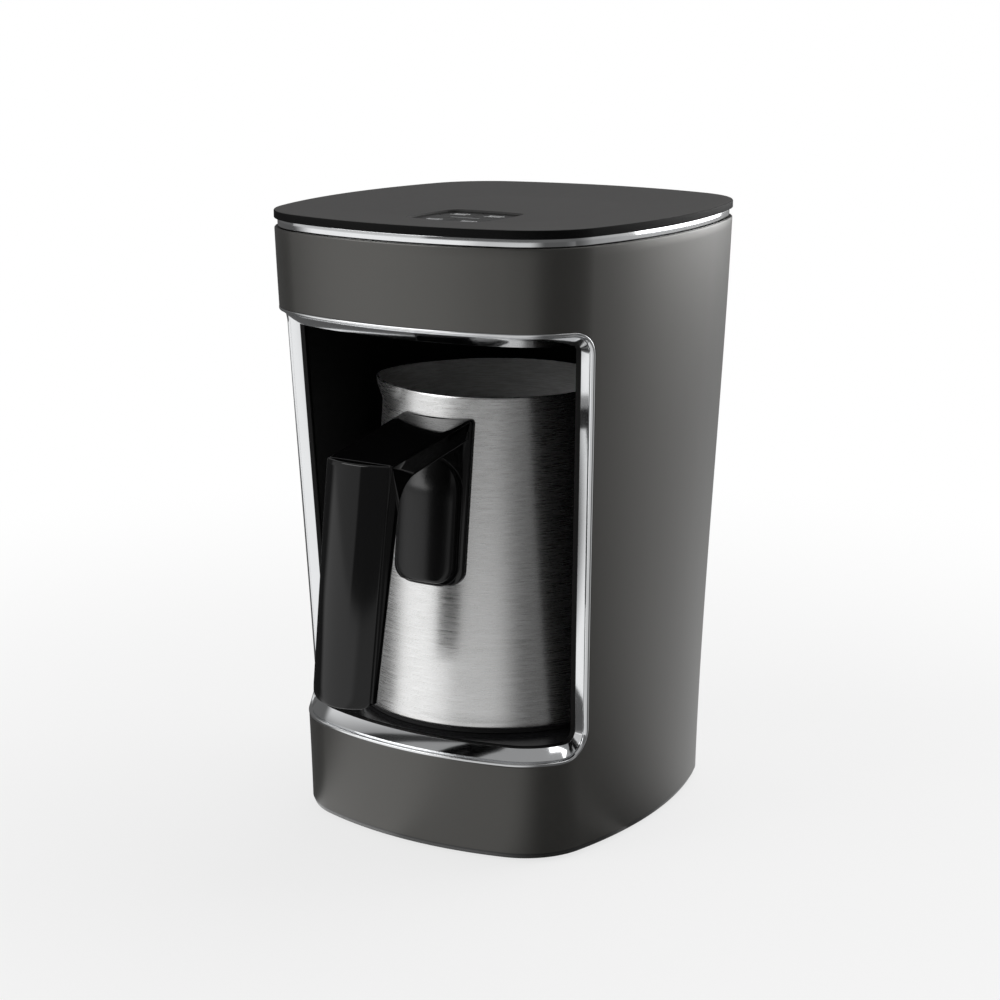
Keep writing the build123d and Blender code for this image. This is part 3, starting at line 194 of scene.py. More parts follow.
# ---- Curves and surfaces --------------------------------------------------------------------
def plan_outline(normal_angle, body, grow=0.0):
    """Plan outline by the direction of its outward normal: each point is an arc's centre plus that
    arc's radius along the normal. Front and back share one arc radius, the sides another, and a
    corner arc touches both. Returns x, y and the local radius; grow moves the outline outwards."""
    half_width, half_depth, corner, front_arc, side_arc = body
    front_y = half_depth - front_arc
    side_x = half_width - side_arc
    apart = hypot(side_x, front_y)
    ux, uy = side_x / apart, -front_y / apart
    along = ((front_arc - corner) ** 2 - (side_arc - corner) ** 2 + apart**2) / (2 * apart)
    across = sqrt((front_arc - corner) ** 2 - along**2)
    corner_x = ux * along + uy * across
    corner_y = front_y + uy * along - ux * across
    side_turn = atan2(corner_y, corner_x - side_x)
    front_turn = atan2(corner_y - front_y, corner_x)
    cosine, sine = np.cos(normal_angle), np.sin(normal_angle)
    turn = np.arctan2(np.abs(sine), np.abs(cosine))
    on_side, on_front = turn < side_turn, turn > front_turn
    centre_x = np.where(on_side, side_x, np.where(on_front, 0.0, corner_x))
    centre_y = np.where(on_side, 0.0, np.where(on_front, front_y, corner_y))
    radius = np.where(on_side, side_arc, np.where(on_front, front_arc, corner)) + grow
    x = np.sign(cosine) * centre_x + radius * cosine
    y = np.sign(sine) * centre_y + radius * sine
    return x, y, radius


def body_outline():
    """The five sizes that plan_outline takes, for the body at its top edge."""
    body = sizes("maker_body")
    return body.half_width, body.half_depth, body.corner, body.front_arc, body.side_arc


def taper(z):
    """Share of the top outline's size at height z: a cubic with a given lean at foot and top."""
    body = sizes("maker_body")
    height = body.top - body.bottom
    t = np.clip((z - body.bottom) / height, 0.0, 1.0)
    width = (
        (2 * t**3 - 3 * t**2 + 1) * body.base_half_width
        + (t**3 - 2 * t**2 + t) * height * tan(body.lean_base)
        + (3 * t**2 - 2 * t**3) * body.half_width
        + (t**3 - t**2) * height * tan(body.lean_top)
    )
    return width / body.half_width


def body_point(normal_angle, z, inset=0.0):
    """Points of the tapered body at heights z: the plan outline scaled by the taper, drawn in by inset."""
    x, y, _ = plan_outline(normal_angle, body_outline())
    scale = taper(z)
    x = x * scale - inset * np.cos(normal_angle)
    y = y * scale - inset * np.sin(normal_angle)
    return np.stack(np.broadcast_arrays(x, y + MIDDLE_Y, z), axis=-1)


def angle_at_side(y, z, inset=0.0):
    """Normal angle on the right side where the body at height z lies at y before or behind its
    middle, found by Newton steps."""
    first_guess, farthest_front, farthest_back = -0.3, -1.45, 0.5
    found = np.full(np.broadcast(y, z).shape, first_guess)
    for _ in range(12):
        _, outline_y, radius = plan_outline(found, body_outline())
        off = outline_y * taper(z) - inset * np.sin(found) - y
        slope = (radius * taper(z) - inset) * np.cos(found)
        found = np.clip(found - off / slope, farthest_front, farthest_back)
    return found


def soften(points, radii, steps=5):
    """Rounds the corners of a closed row of points with quadratic curves: each corner is left
    and met again at its radius from it. Works in any number of dimensions."""
    points = np.asarray(points, float)
    radii = np.broadcast_to(np.asarray(radii, float), (len(points),))
    before, after = np.roll(points, 1, axis=0) - points, np.roll(points, -1, axis=0) - points
    reach_in = np.linalg.norm(before, axis=1)
    reach_out = np.linalg.norm(after, axis=1)
    radius = np.minimum(radii, 0.49 * np.minimum(reach_in, reach_out))
    start = points + before * (radius / reach_in)[:, None]
    end = points + after * (radius / reach_out)[:, None]
    t = np.linspace(0.0, 1.0, steps)[None, :, None]
    curve = (1 - t) ** 2 * start[:, None] + 2 * t * (1 - t) * points[:, None] + t**2 * end[:, None]
    return curve.reshape(-1, points.shape[1])


def rounding(radius, steps):
    """Quarter circle of an edge, as pairs: how far it has drawn in from the face that it leaves, and how
    far it still is below the face that it meets."""
    turn = np.linspace(0.0, pi / 2, steps)
    return list(zip(radius * (1 - np.cos(turn)), radius * (1 - np.sin(turn))))


def grid_faces(rows, columns, close_rows=False, close_columns=False, flip=False):
    """Quads between neighbouring points of a grid, as an array of four indices each."""
    row = np.arange(rows if close_rows else rows - 1)
    column = np.arange(columns if close_columns else columns - 1)
    r, c = np.meshgrid(row, column, indexing="ij")
    next_r, next_c = (r + 1) % rows, (c + 1) % columns
    quads = np.stack(
        [r * columns + c, r * columns + next_c, next_r * columns + next_c, next_r * columns + c], axis=-1
    )
    quads = quads.reshape(-1, 4)
    return quads[:, ::-1] if flip else quads


def new_piece(name, points, faces, material, body, replaced=(), extra=(), zone=None):
    """A finished piece in the shared frame: its mesh, finish and the body it rides on. Extra faces may
    have any number of corners. A zone is a number per point, from 0 to 1, that its finish may read."""
    mesh = bpy.data.meshes.new(name)
    mesh.from_pydata(np.reshape(points, (-1, 3)).tolist(), [], np.asarray(faces).tolist() + list(extra))
    mesh.validate()
    mesh.polygons.foreach_set("use_smooth", np.ones(len(mesh.polygons), bool))
    if zone is not None:
        attribute = mesh.attributes.new("zone", "FLOAT", "POINT")
        attribute.data.foreach_set("value", np.asarray(zone, float).ravel())
    mesh.update()
    mesh.materials.append(material)
    piece = bpy.data.objects.new(name, mesh)
    bpy.context.scene.collection.objects.link(piece)
    if body:
        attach(piece, body)
    if replaced:
        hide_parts(*replaced)
    return piece


def with_pole(points, centre, ring, flip=False):
    """Adds one point at centre and the triangles that join it to a ring of point indices."""
    pole = np.full(len(ring), len(points))
    following = np.roll(ring, -1)
    corners = (following, ring, pole) if flip else (ring, following, pole)
    return np.vstack([points, centre]), np.stack(corners, axis=-1).tolist()


# ---- Opening of the body --------------------------------------------------------------------
def jamb_line(z):
    """How far behind the body's middle the leaning jamb stands at height z; it is negative."""
    opening = sizes("maker_opening")
    up = (z - opening.low) / (opening.high - opening.low)
    return -(opening.jamb_low + up * (opening.jamb_high - opening.jamb_low))


def opening_loop(low, high, setback, radius_low, radius_high, inset):
    """Closed loop of points round the front opening, drawn on the body's surface or inset from it:
    from the middle of the head to the right, round the corner, down the jamb, round the lower
    corner and back along the sill, then the same mirrored."""
    corner_steps, jamb_steps, half_steps = 15, 30, 40
    quarter = np.linspace(0.0, pi / 2, corner_steps)[1:-1]
    top_y = jamb_line(high) + setback - radius_high
    low_y = jamb_line(low) + setback - radius_low
    corner_z = high - radius_high * (1 - np.cos(quarter))
    corner_y = jamb_line(corner_z) + setback - radius_high * (1 - np.sin(quarter))
    jamb_z = np.linspace(high - radius_high, low + radius_low, jamb_steps)
    jamb_y = jamb_line(jamb_z) + setback
    foot_z = low + radius_low * (1 - np.sin(quarter))
    foot_y = jamb_line(foot_z) + setback - radius_low * (1 - np.cos(quarter))
    side_z = np.concatenate([[high], corner_z, jamb_z, foot_z, [low]])
    side_y = np.concatenate([[top_y], corner_y, jamb_y, foot_y, [low_y]])
    side_angle = angle_at_side(side_y, side_z, inset)
    blend = np.linspace(0.0, 1.0, half_steps)[:-1]
    head_angle = -pi / 2 + blend * (side_angle[0] + pi / 2)
    sill_angle = side_angle[-1] + (1 - blend[::-1]) * (-pi / 2 - side_angle[-1])
    angles = np.concatenate([head_angle, side_angle, sill_angle])
    heights = np.concatenate([np.full(len(blend), high), side_z, np.full(len(blend), low)])
    right = body_point(angles, heights, inset)
    left = right[::-1][1:-1] * np.array([-1.0, 1.0, 1.0])
    return np.vstack([right, left])


def build_housing(material):
    """Outer shell as one sheet of rows and columns: the columns run by the outline's normal angle,
    the rows by height. Between sill and head the front columns are left out and the others start
    at the opening's rounded edge. Solidify gives the wall."""
    body, opening = sizes("maker_body"), sizes("maker_opening")
    close = 0.3 * MM
    band_top = body.bottom + body.chamfer_height
    bend = np.linspace(0.0, pi / 2, 12)
    heights = np.concatenate(
        [
            [body.bottom, band_top],
            np.linspace(band_top + 0.4 * MM, opening.low - close, 12),
            [opening.low],
            (opening.low + opening.radius_low * (1 - np.cos(bend)))[1:],
            np.linspace(opening.low + opening.radius_low, opening.high - opening.radius_high, 26)[1:-1],
            opening.high - opening.radius_high * (1 - np.sin(bend)),
            np.linspace(opening.high + close, body.top - 0.7 * MM, 10),
            [body.top - 0.3 * MM, body.top - 0.05 * MM, body.top],
        ]
    )
    insets = np.zeros(len(heights))
    insets[0] = body.chamfer_inset
    insets[-3:] = np.array([0.06, 0.3, 0.6]) * MM
    from_sill = np.clip(opening.radius_low - (heights - opening.low), 0.0, opening.radius_low)
    from_head = np.clip(opening.radius_high - (opening.high - heights), 0.0, opening.radius_high)
    held = np.clip(heights, opening.low, opening.high)
    edge_y = jamb_line(held)
    edge_y = edge_y - opening.radius_low + np.sqrt(opening.radius_low**2 - from_sill**2)
    edge_y = edge_y - opening.radius_high + np.sqrt(opening.radius_high**2 - from_head**2)
    start = angle_at_side(edge_y, held)[:, None]
    rest = start.mean()
    # columns close to the opening's edge keep the shade of the flat wall clean beside it
    close_step = 0.0008
    even_steps = np.linspace(0.0, 1.0, 258)[1:-1]
    steps = np.concatenate([[0.0, close_step], even_steps, [1.0 - close_step, 1.0]])
    round_back = rest + steps[None, :] * (pi - 2 * rest)
    near = np.clip(1.0 - (round_back - rest) / radians(20.0), 0.0, 1.0) ** 1.5
    back = round_back + (start - rest) * (near - near[:, ::-1])
    front = -pi - start + np.linspace(0.0, 1.0, 92)[None, 1:-1] * (pi + 2 * start)
    angles = np.hstack([back, front])
    points = body_point(angles, heights[:, None], insets[:, None])
    rows, columns = angles.shape
    faces = grid_faces(rows, columns, close_columns=True)
    foot_of_face = heights[faces.min(axis=1) // columns]
    at_front = faces[:, 0] % columns >= len(steps) - 1
    faces = faces[~((foot_of_face >= opening.low) & (foot_of_face < opening.high) & at_front)]
    used = np.unique(faces)
    renumber = np.zeros(rows * columns, int)
    renumber[used] = np.arange(len(used))
    piece = new_piece(
        "housing_shell",
        points.reshape(-1, 3)[used],
        renumber[faces],
        material,
        "housing",
        ["outer_housing"],
        # the zone marks the foot chamfer, which the paint darkens as painted shade
        zone=np.repeat(heights <= band_top, columns)[used],
    )
    wall = piece.modifiers.new("wall", "SOLIDIFY")
    wall.thickness = body.wall
    wall.offset = -1.0


def carry_round_opening(section, radii):
    """A closed section of steps in millimetres (in from sill and head, in from the jambs, depth),
    softened at its corners and carried round the opening, whose corners tighten over the band."""
    opening = sizes("maker_opening")
    rows = []
    for rise, side, inset in soften(section, radii) * MM:
        share_of_band = rise / opening.band
        radius_low = opening.radius_low - share_of_band * opening.draw_low
        radius_high = opening.radius_high - share_of_band * opening.draw_high
        low, high = opening.low + rise, opening.high - rise
        rows.append(opening_loop(low, high, -side, radius_low, radius_high, inset))
    points = np.array(rows)
    return points, grid_faces(points.shape[0], points.shape[1], True, True, flip=True)


def build_bezel(material, inner_material):
    """Bright frame of the opening: a round-edged outer lip, a fine groove, then the splayed band. A
    dark rim behind it closes the gap to the chamber."""
    opening = sizes("maker_opening")
    lip, band, depth = opening.lip / MM, opening.band / MM, opening.depth / MM
    corners = [
        # lip: behind the paint, its outer edge, its face, its inner side
        (0.10, 0.10, 1.90, 0.3),
        (0.05, 0.05, -0.12, 0.5),
        (lip - 0.15, lip - 0.30, -0.12, 0.5),
        (lip, lip - 0.12, 0.90, 0.1),
        # groove: its floor and its far side
        (lip + 0.05, lip - 0.20, 1.55, 0.1),
        (lip + 0.35, lip + 0.02, 1.55, 0.1),
        (lip + 0.50, lip + 0.08, 1.20, 0.15),
        # band: its inner edge and its back
        (band, lip - 1.00, depth, 0.12),
        (band - 0.50, lip - 1.30, depth + 0.10, 0.3),
        (1.20, 0.10, 2.60, 0.4),
    ]
    section, radii = np.split(np.array(corners), [3], axis=1)
    points, faces = carry_round_opening(section, radii[:, 0])
    new_piece("opening_bezel", points, faces, material, "housing", ["front_bezel"])
    rim = [
        (band - 0.05, lip - 1.04, depth + 0.03),
        (band + 0.03, lip - 0.90, depth + 2.0),
        (band - 1.60, -0.60, depth + 2.0),
        (band - 1.20, -0.60, depth + 0.15),
    ]
    points, faces = carry_round_opening(rim, 0.1)
    new_piece("opening_inner_rim", points, faces, inner_material, "housing")


# ---- Lid ------------------------------------------------------------------------------------
def slab_rows(section, body, count=320):
    """Rings of the top outline for each (inset, height) of a section."""
    normal_angle = np.linspace(0.0, 2 * pi, count, endpoint=False)
    rings = []
    for inset, z in section:
        x, y, _ = plan_outline(normal_angle, body, grow=-inset)
        rings.append(np.stack([x, y + MIDDLE_Y, np.full(count, z)], axis=-1))
    return np.array(rings)


def build_trim_ring(material):
    """Bright ring under the lid: a closed section with a slightly crowned face, carried round the
    body's top outline."""
    lid, body = sizes("maker_lid"), sizes("maker_body")
    ring_depth, crown = 2.5 * MM, 0.05 * MM
    outer, inner = lid.trim_inset, lid.trim_inset + ring_depth
    corners = [
        (inner, body.top, 0.2 * MM),
        (outer + crown, body.top + crown, 0.35 * MM),
        (outer - crown, (body.top + lid.trim_top) / 2, 1.4 * MM),
        (outer + crown, lid.trim_top - crown, 0.35 * MM),
        (inner, lid.trim_top - crown, 0.2 * MM),
    ]
    section, radii = np.split(np.array(corners), [2], axis=1)
    points = slab_rows(soften(section, radii[:, 0]), body_outline())
    faces = grid_faces(points.shape[0], points.shape[1], True, True)
    new_piece("lid_trim_ring", points, faces, material, "housing", ["trim_ring"])


def dish_height(x, y):
    """Height of the lid's dished top: flat rim, then a smooth fall to a flat middle, by how far a
    point lies out along its own ray to the lid's outline."""
    lid = sizes("maker_lid")
    flat_middle, fall = 0.52, 1.25
    outline_x, outline_y, _ = plan_outline(np.linspace(0.0, 2 * pi, 1441), body_outline())
    polar = np.unwrap(np.arctan2(outline_y, outline_x))
    reach = np.hypot(outline_x, outline_y)
    around = np.mod(np.arctan2(y - MIDDLE_Y, x) - polar[0], 2 * pi) + polar[0]
    out = np.hypot(x, y - MIDDLE_Y) / np.interp(around, polar, reach)
    rim = 1.0 - lid.rim / sizes("maker_body").half_width
    t = np.clip((out - flat_middle) / (rim - flat_middle), 0.0, 1.0)
    return lid.top - lid.dish * (1.0 - t**fall)


def panel_outline(normal_angle, grow):
    """Plan outline of the panel, in its place before the body's middle."""
    lid = sizes("maker_lid")
    plate = (lid.panel_half_width, lid.panel_half_length, lid.panel_corner, lid.panel_bow, lid.panel_bow)
    x, y, _ = plan_outline(normal_angle, plate, grow)
    return x, y + MIDDLE_Y - lid.panel_y


def build_lid(material):
    """Lid: rings from under its edge, round the edge's small radius, over the rim and down the dish
    to the panel's hole, blending the lid's outline into the panel's by equal normals."""
    lid = sizes("maker_lid")
    overhang, hole_gap, hole_foot_gap = 0.1 * MM, 0.15 * MM, 0.02 * MM
    under = lid.trim_top + 0.05 * MM
    section = [(5.0 * MM, lid.trim_top + 0.1 * MM), (1.0 * MM, under)]
    section += [(short - overhang, under + drawn) for drawn, short in rounding(0.6 * lid.edge, 7)]
    section += [(drawn - overhang, lid.top - short) for drawn, short in rounding(lid.edge, 7)]
    outer = slab_rows(section, body_outline(), 360)
    normal_angle = np.linspace(0.0, 2 * pi, 360, endpoint=False)
    rim_x, rim_y, _ = plan_outline(normal_angle, body_outline(), grow=overhang - lid.edge)
    hole_x, hole_y = panel_outline(normal_angle, hole_gap)
    # the last ring but one lies close to the hole, so that its crisp edge doesn't blur the shade
    close_ring = 0.995
    blend = np.insert(np.linspace(0.0, 1.0, 34)[1:], -1, close_ring)[:, None]
    x = rim_x * (1 - blend) + hole_x * blend
    y = (rim_y + MIDDLE_Y) * (1 - blend) + hole_y * blend
    top = np.stack([x, y, dish_height(x, y)], axis=-1)
    foot_x, foot_y = panel_outline(normal_angle, hole_foot_gap)
    hole_foot = np.full(len(foot_x), lid.top - lid.dish - lid.panel_recess - 1.2 * MM)
    hole = [np.stack([foot_x, foot_y, z], axis=-1) for z in (top[-1, :, 2] - hole_gap, hole_foot)]
    points = np.concatenate([outer, top, hole])
    faces = grid_faces(points.shape[0], points.shape[1], close_columns=True)
    on_side = np.repeat(np.arange(len(points)) < len(section) - 3, points.shape[1])
    new_piece("lid_cover", points, faces, material, "housing", ["top_cover"], zone=on_side)


# ---- Pot ------------------------------------------------------------------------------------
def cone_radius(z):
    """Outer radius of the pot's straight wall at height z."""
    pot = sizes("maker_pot")
    return pot.base - (z - pot.bottom) / (pot.top - pot.bottom) * (pot.base - pot.rim)


def build_pot(material):
    """Pot: a turned profile up the outside, over the rounded rim and down the inside. Towards the
    spout its radius grows by a bell curve of the angle that fades down the wall, and by the lip: a
    beak that falls off evenly to a crease, which runs down from the rim on both sides and across."""
    pot = sizes("maker_pot")
    around = np.linspace(0.0, 2 * pi, 480, endpoint=False)
    off = around - pi - pot.spout_turn
    foot, hollow, under_rim = 1.3 * MM, 4.0 * MM, 0.7 * MM
    foot_radius = cone_radius(pot.bottom)
    floor_radius = foot_radius - pot.wall - 0.1 * hollow
    up = np.linspace(pot.bottom + 3 * MM, pot.top - 12 * MM, 30)
    down = np.linspace(pot.top - 12 * MM, pot.bottom + 6 * MM, 28)
    beside_spout = np.linspace(pot.top - 11.5 * MM, pot.top - under_rim, 28)
    outer = [(foot_radius - short, pot.bottom + drawn) for drawn, short in rounding(foot, 8)]
    outer += [(cone_radius(z), z) for z in (*up, *beside_spout)]
    middle, half_wall = pot.rim - pot.wall / 2, pot.wall / 2
    turn = np.linspace(0.0, pi, 9)[1:-1]
    lip = [(middle + half_wall * np.cos(a), pot.top - half_wall * (1 - np.sin(a))) for a in turn]
    inner = [(cone_radius(z) - pot.wall, z) for z in (*beside_spout[::-1], *down)]
    inner += [(floor_radius - drawn, pot.bottom + pot.wall + short) for drawn, short in rounding(hollow, 8)]
    profile = np.array(outer + lip + inner)
    radius, z = profile[:, 0][:, None], profile[:, 1][:, None]
    below = pot.top - z
    fade = np.clip(1.0 - below / pot.swell_drop, 0.0, 1.0)
    bell = np.exp(-((off / pot.swell_width) ** 2))[None, :]
    out = (np.abs(off / pot.spout_width)[None, :] ** 3 + (below / pot.spout_depth) ** 3) ** (1 / 3)
    beak = np.clip(1.0 - out, 0.0, 1.0) ** 1.1
    radius = radius + pot.swell * bell * fade + pot.spout_reach * beak
    x = radius * np.cos(around)[None, :]
    y = POT_AXIS_Y + radius * np.sin(around)[None, :]
    points = np.stack([x, y, np.broadcast_to(z, x.shape)], axis=-1)
    rows, columns = points.shape[:2]
    faces = grid_faces(rows, columns, close_columns=True)
    first = np.arange(columns)
    last = first + (rows - 1) * columns
    points, low_cap = with_pole(points.reshape(-1, 3), (0.0, POT_AXIS_Y, pot.bottom), first, flip=True)
    points, high_cap = with_pole(points, (0.0, POT_AXIS_Y, pot.bottom + pot.wall), last)
    lip_middle = len(outer) + len(lip) // 2 + 1
    inside = np.append(np.repeat(np.arange(rows) > lip_middle, columns), [False, True])
    caps = low_cap + high_cap
    new_piece("pot_shell", points, faces, material, "pot", ["pot_body"], caps, inside)


# ---- Handle ---------------------------------------------------------------------------------
def plate_outline(half_width, low, high, radius_low, radius_high, flat=10, bend=8):
    """Rounded plate outline in width and height, the same number of points for any size."""
    quarter = np.linspace(0.0, pi / 2, bend)
    corners = [
        (half_width - radius_low, low + radius_low, radius_low, -pi / 2),
        (half_width - radius_high, high - radius_high, radius_high, 0.0),
        (radius_high - half_width, high - radius_high, radius_high, pi / 2),
        (radius_low - half_width, low + radius_low, radius_low, pi),
    ]
    arcs = [
        np.stack([x + r * np.cos(start + quarter), z + r * np.sin(start + quarter)], axis=-1)
        for x, z, r, start in corners
    ]
    pieces = []
    fill = np.linspace(0.0, 1.0, flat + 2)[1:-1, None]
    for arc, following in zip(arcs, arcs[1:] + arcs[:1]):
        pieces += [arc, arc[-1] * (1 - fill) + following[0] * fill]
    return np.vstack(pieces)


def on_pot(width, z, height):
    """A point of the pot's front wall at a width and height, lifted off the wall."""
    y = POT_AXIS_Y - np.sqrt((cone_radius(z) + height) ** 2 - width**2)
    return np.stack([width, y, z], axis=-1)


def conformal_plate(outline_of, section, crown=None):
    """Plate that follows the pot's wall: rings of its outline, each drawn in and lifted as the section
    says, then shrunk towards the middle; crown changes the lift over the plate."""
    rings = []
    for inset, lift in section:
        ring = outline_of(inset)
        rings.append(np.column_stack([ring, np.full(len(ring), lift)]))
    last = rings[-1]
    middle = last[:, :2].mean(axis=0)
    for shrink in np.linspace(1.0, 0.0, 14)[1:-1]:
        ring = last.copy()
        ring[:, :2] = middle + (last[:, :2] - middle) * shrink
        rings.append(ring)
    grid = np.array(rings)
    centre = np.array([[middle[0], middle[1], section[-1][1]]])
    if crown is not None:
        grid[..., 2] = crown(grid[..., 0], grid[..., 1], grid[..., 2])
        centre[:, 2] = crown(centre[:, 0], centre[:, 1], centre[:, 2])
    points = on_pot(grid[..., 0], grid[..., 1], grid[..., 2]).reshape(-1, 3)
    faces = grid_faces(grid.shape[0], grid.shape[1], close_columns=True)
    last_ring = np.arange(grid.shape[1]) + (grid.shape[0] - 1) * grid.shape[1]
    points, cap = with_pole(points, on_pot(centre[:, 0], centre[:, 1], centre[:, 2]), last_ring)
    return points, faces, cap


def handle_plan():
    """Named places of the arm's side view: y of pot wall and grip, z of bridge and grip foot."""
    handle = sizes("maker_handle")
    wall_y = POT_AXIS_Y - cone_radius(handle.saddle_high)
    front_y = wall_y - handle.reach
    front_z = handle.saddle_high - handle.drop
    return wall_y, front_y, front_z, front_z - handle.grip_length


def arm_half_width(y, z):
    """Half width of the arm: the bridge narrows evenly from the pot to the bend, the grip from the
    bend down to its foot, where it is rounded in."""
    handle = sizes("maker_handle")
    wall_y, front_y, front_z, foot_z = handle_plan()
    corner, past_bend = handle.foot_corner, 8.0 * MM
    bend_y = front_y + handle.back + past_bend
    bend_z = front_z - handle.bridge - past_bend
    back = np.clip((y - bend_y) / (wall_y - bend_y), 0.0, 1.0)
    down = np.clip((bend_z - z) / (bend_z - foot_z), 0.0, 1.0)
    half = handle.top_half_width + back * (handle.bridge_half_width - handle.top_half_width)
    half = half - down * (handle.top_half_width - handle.foot_half_width)
    below = np.clip(corner - (z - foot_z), 0.0, corner)
    return half - corner + np.sqrt(corner**2 - below**2)


def build_arm(material):
    """Bridge and grip: the side outline, softened at its corners, carried across the width, drawn in
    on a small radius at both sides and closed by flat cheeks. Its end follows the pot's wall."""
    handle = sizes("maker_handle")
    wall_y, front_y, front_z, foot_z = handle_plan()
    end_y = POT_AXIS_Y - 20 * MM
    under_z = handle.saddle_high - handle.bridge
    corners = [
        (end_y, handle.saddle_high, 0.2 * MM),
        (wall_y, handle.saddle_high, 1.5 * MM),
        (front_y, front_z, 0.6 * MM),
        (front_y - handle.rake, foot_z, 0.5 * MM),
        (front_y - handle.rake + handle.back, foot_z, 1.2 * MM),
        (front_y + handle.back, front_z - handle.bridge, 11.0 * MM),
        (wall_y, under_z, 3.0 * MM),
        (end_y, under_z, 0.2 * MM),
    ]
    outline, radii = np.split(np.array(corners), [2], axis=1)
    outline = soften(outline, radii[:, 0], 9)
    tangent = np.roll(outline, -1, axis=0) - np.roll(outline, 1, axis=0)
    tangent /= np.linalg.norm(tangent, axis=1)[:, None]
    inward = np.stack([-tangent[:, 1], tangent[:, 0]], axis=-1)
    edge, off_wall, cheek_band = 0.8 * MM, 0.4 * MM, 0.3 * MM
    right = [(edge + cheek_band, 0.0, 1.0)]
    right += [(drawn, short, 1.0) for drawn, short in rounding(edge, 6)[::-1]]
    left = [(drawn, short, -1.0) for drawn, short, _ in right[::-1]]
    between = [(0.0, edge, place) for place in np.linspace(1.0, -1.0, 17)[1:-1]]
    grid = []
    for drawn, short, place in right + between + left:
        ring = outline + inward * drawn
        width = place * (arm_half_width(ring[:, 0], ring[:, 1]) - short)
        wall = on_pot(width, ring[:, 1], off_wall)[:, 1]
        grid.append(np.stack([width, np.minimum(ring[:, 0], wall), ring[:, 1]], axis=-1))
    grid = np.array(grid)
    rows, columns = grid.shape[:2]
    faces = grid_faces(rows, columns, close_columns=True)
    outer = np.arange(columns // 2 - 1)
    inner = columns - 1 - outer
    right_cheek = np.stack([outer, outer + 1, inner - 1, inner], axis=-1)
    left_cheek = (right_cheek + (rows - 1) * columns)[:, ::-1]
    faces = np.vstack([faces, right_cheek, left_cheek])
    new_piece("handle_arm", grid, faces, material, "pot", ["handle_body"])


def build_saddle(material):
    """Plate of the handle that lies on the pot's wall, with a rounded edge."""
    handle = sizes("maker_handle")

    def outline(inset):
        return plate_outline(
            handle.saddle_half_width - inset,
            handle.saddle_low + inset,
            handle.saddle_high - inset,
            6.0 * MM - inset,
            1.6 * MM - inset,
        )

    section = [(0.0, 0.05 * MM)]
    section += [(drawn, handle.saddle - short) for drawn, short in rounding(0.9 * MM, 6)]
    points, faces, cap = conformal_plate(outline, section)
    new_piece("handle_saddle", points, faces, material, "pot", extra=cap)


def build_pad(material):
    """Arched pad on the saddle: a thin raised line round it, a groove, then a bowed face that rises
    like a wedge from the arch's top to its full height where the arch ends."""
    handle = sizes("maker_handle")
    base = handle.saddle
    wedge_length, foot_corner = 13.0 * MM, 7.0 * MM

    def outline(inset):
        half_width = handle.pad_half_width - inset
        arch = half_width - 0.1 * MM
        low, high = handle.pad_low + inset, handle.pad_high - inset
        return plate_outline(half_width, low, high, foot_corner - inset, arch)

    def crown(width, z, lift):
        down = np.clip((handle.pad_high - z) / wedge_length, 0.0, 1.0)
        wedge = 0.10 + 0.90 * down**2 * (3 - 2 * down)
        bow = 1.0 - 0.25 * (width / handle.pad_half_width) ** 2
        over = np.clip(lift - base, 0.0, 1.0)
        return lift - over + over * wedge * bow

    line = np.array([(-1.60, -0.30), (-1.55, 0.10), (-1.15, 0.14)]) * MM
    groove = np.array([(-0.85, -0.25), (-0.10, -0.25), (0.0, 0.20)]) * MM
    section = [(inset, base + lift) for inset, lift in (*line, *groove)]
    section += [(drawn, base + handle.pad - short) for drawn, short in rounding(1.9 * MM, 8)]
    points, faces, cap = conformal_plate(outline, section, crown)
    new_piece("handle_thumb_pad", points, faces, material, "pot", ["handle_pad"], cap)


def build_cover(material):
    """Grip cover: across it is bowed, with rounded side edges and a fine groove at its seam; that
    section is carried down the raked grip, drawn in on a small radius at its top and foot."""
    handle = sizes("maker_handle")
    _, front_y, front_z, foot_z = handle_plan()
    edge, seam_gap = 0.7 * MM, 0.3 * MM
    share_of_width = np.sin(np.linspace(-pi / 2, pi / 2, 61))
    edge_share = edge / handle.top_half_width
    into_edge = np.clip((np.abs(share_of_width) - 1 + edge_share) / edge_share, 0.0, 1.0)
    bow = handle.side + handle.bulge * (1 - share_of_width**2) - edge * (1 - np.sqrt(1 - into_edge**2))
    groove = 1.0 - seam_gap / handle.top_half_width
    across = np.concatenate([[-groove, -groove, -1.0], share_of_width, [1.0, groove, groove]])
    ahead = np.concatenate([[0.05 * MM, seam_gap, seam_gap], bow, [seam_gap, seam_gap, 0.05 * MM]])
    corner = handle.foot_corner
    round_foot = np.sin(np.linspace(0.0, pi / 2, 6)[1:])
    stations = [(front_z, 3 * edge)]
    stations += [(front_z - drawn, short) for drawn, short in rounding(edge, 6)]
    stations += [(z, 0.0) for z in np.linspace(front_z - 2 * MM, foot_z + corner + 1 * MM, 24)]
    stations += [(foot_z + corner - (corner - edge) * fall, 0.0) for fall in round_foot]
    stations += [(foot_z + short, drawn) for drawn, short in rounding(edge, 6)[1:]]
    stations += [(foot_z, 3 * edge)]
    rings = []
    for z, inset in stations:
        seam = front_y - (front_z - z) / handle.grip_length * handle.rake
        width = across * (arm_half_width(seam, z) - inset)
        depth = np.where(ahead > seam_gap, np.maximum(ahead - inset, seam_gap), ahead)
        rings.append(np.stack([width, seam - depth, np.full(len(width), z)], axis=-1))
    grid = np.array(rings)
    rows, columns = grid.shape[:2]
    faces = grid_faces(rows, columns, close_columns=True, flip=True)
    top = list(range(columns))
    foot = list(range(rows * columns - 1, (rows - 1) * columns - 1, -1))
    caps = [top, foot]
    new_piece("handle_grip_cover", grid, faces, material, "pot", ["handle_cover"], caps)


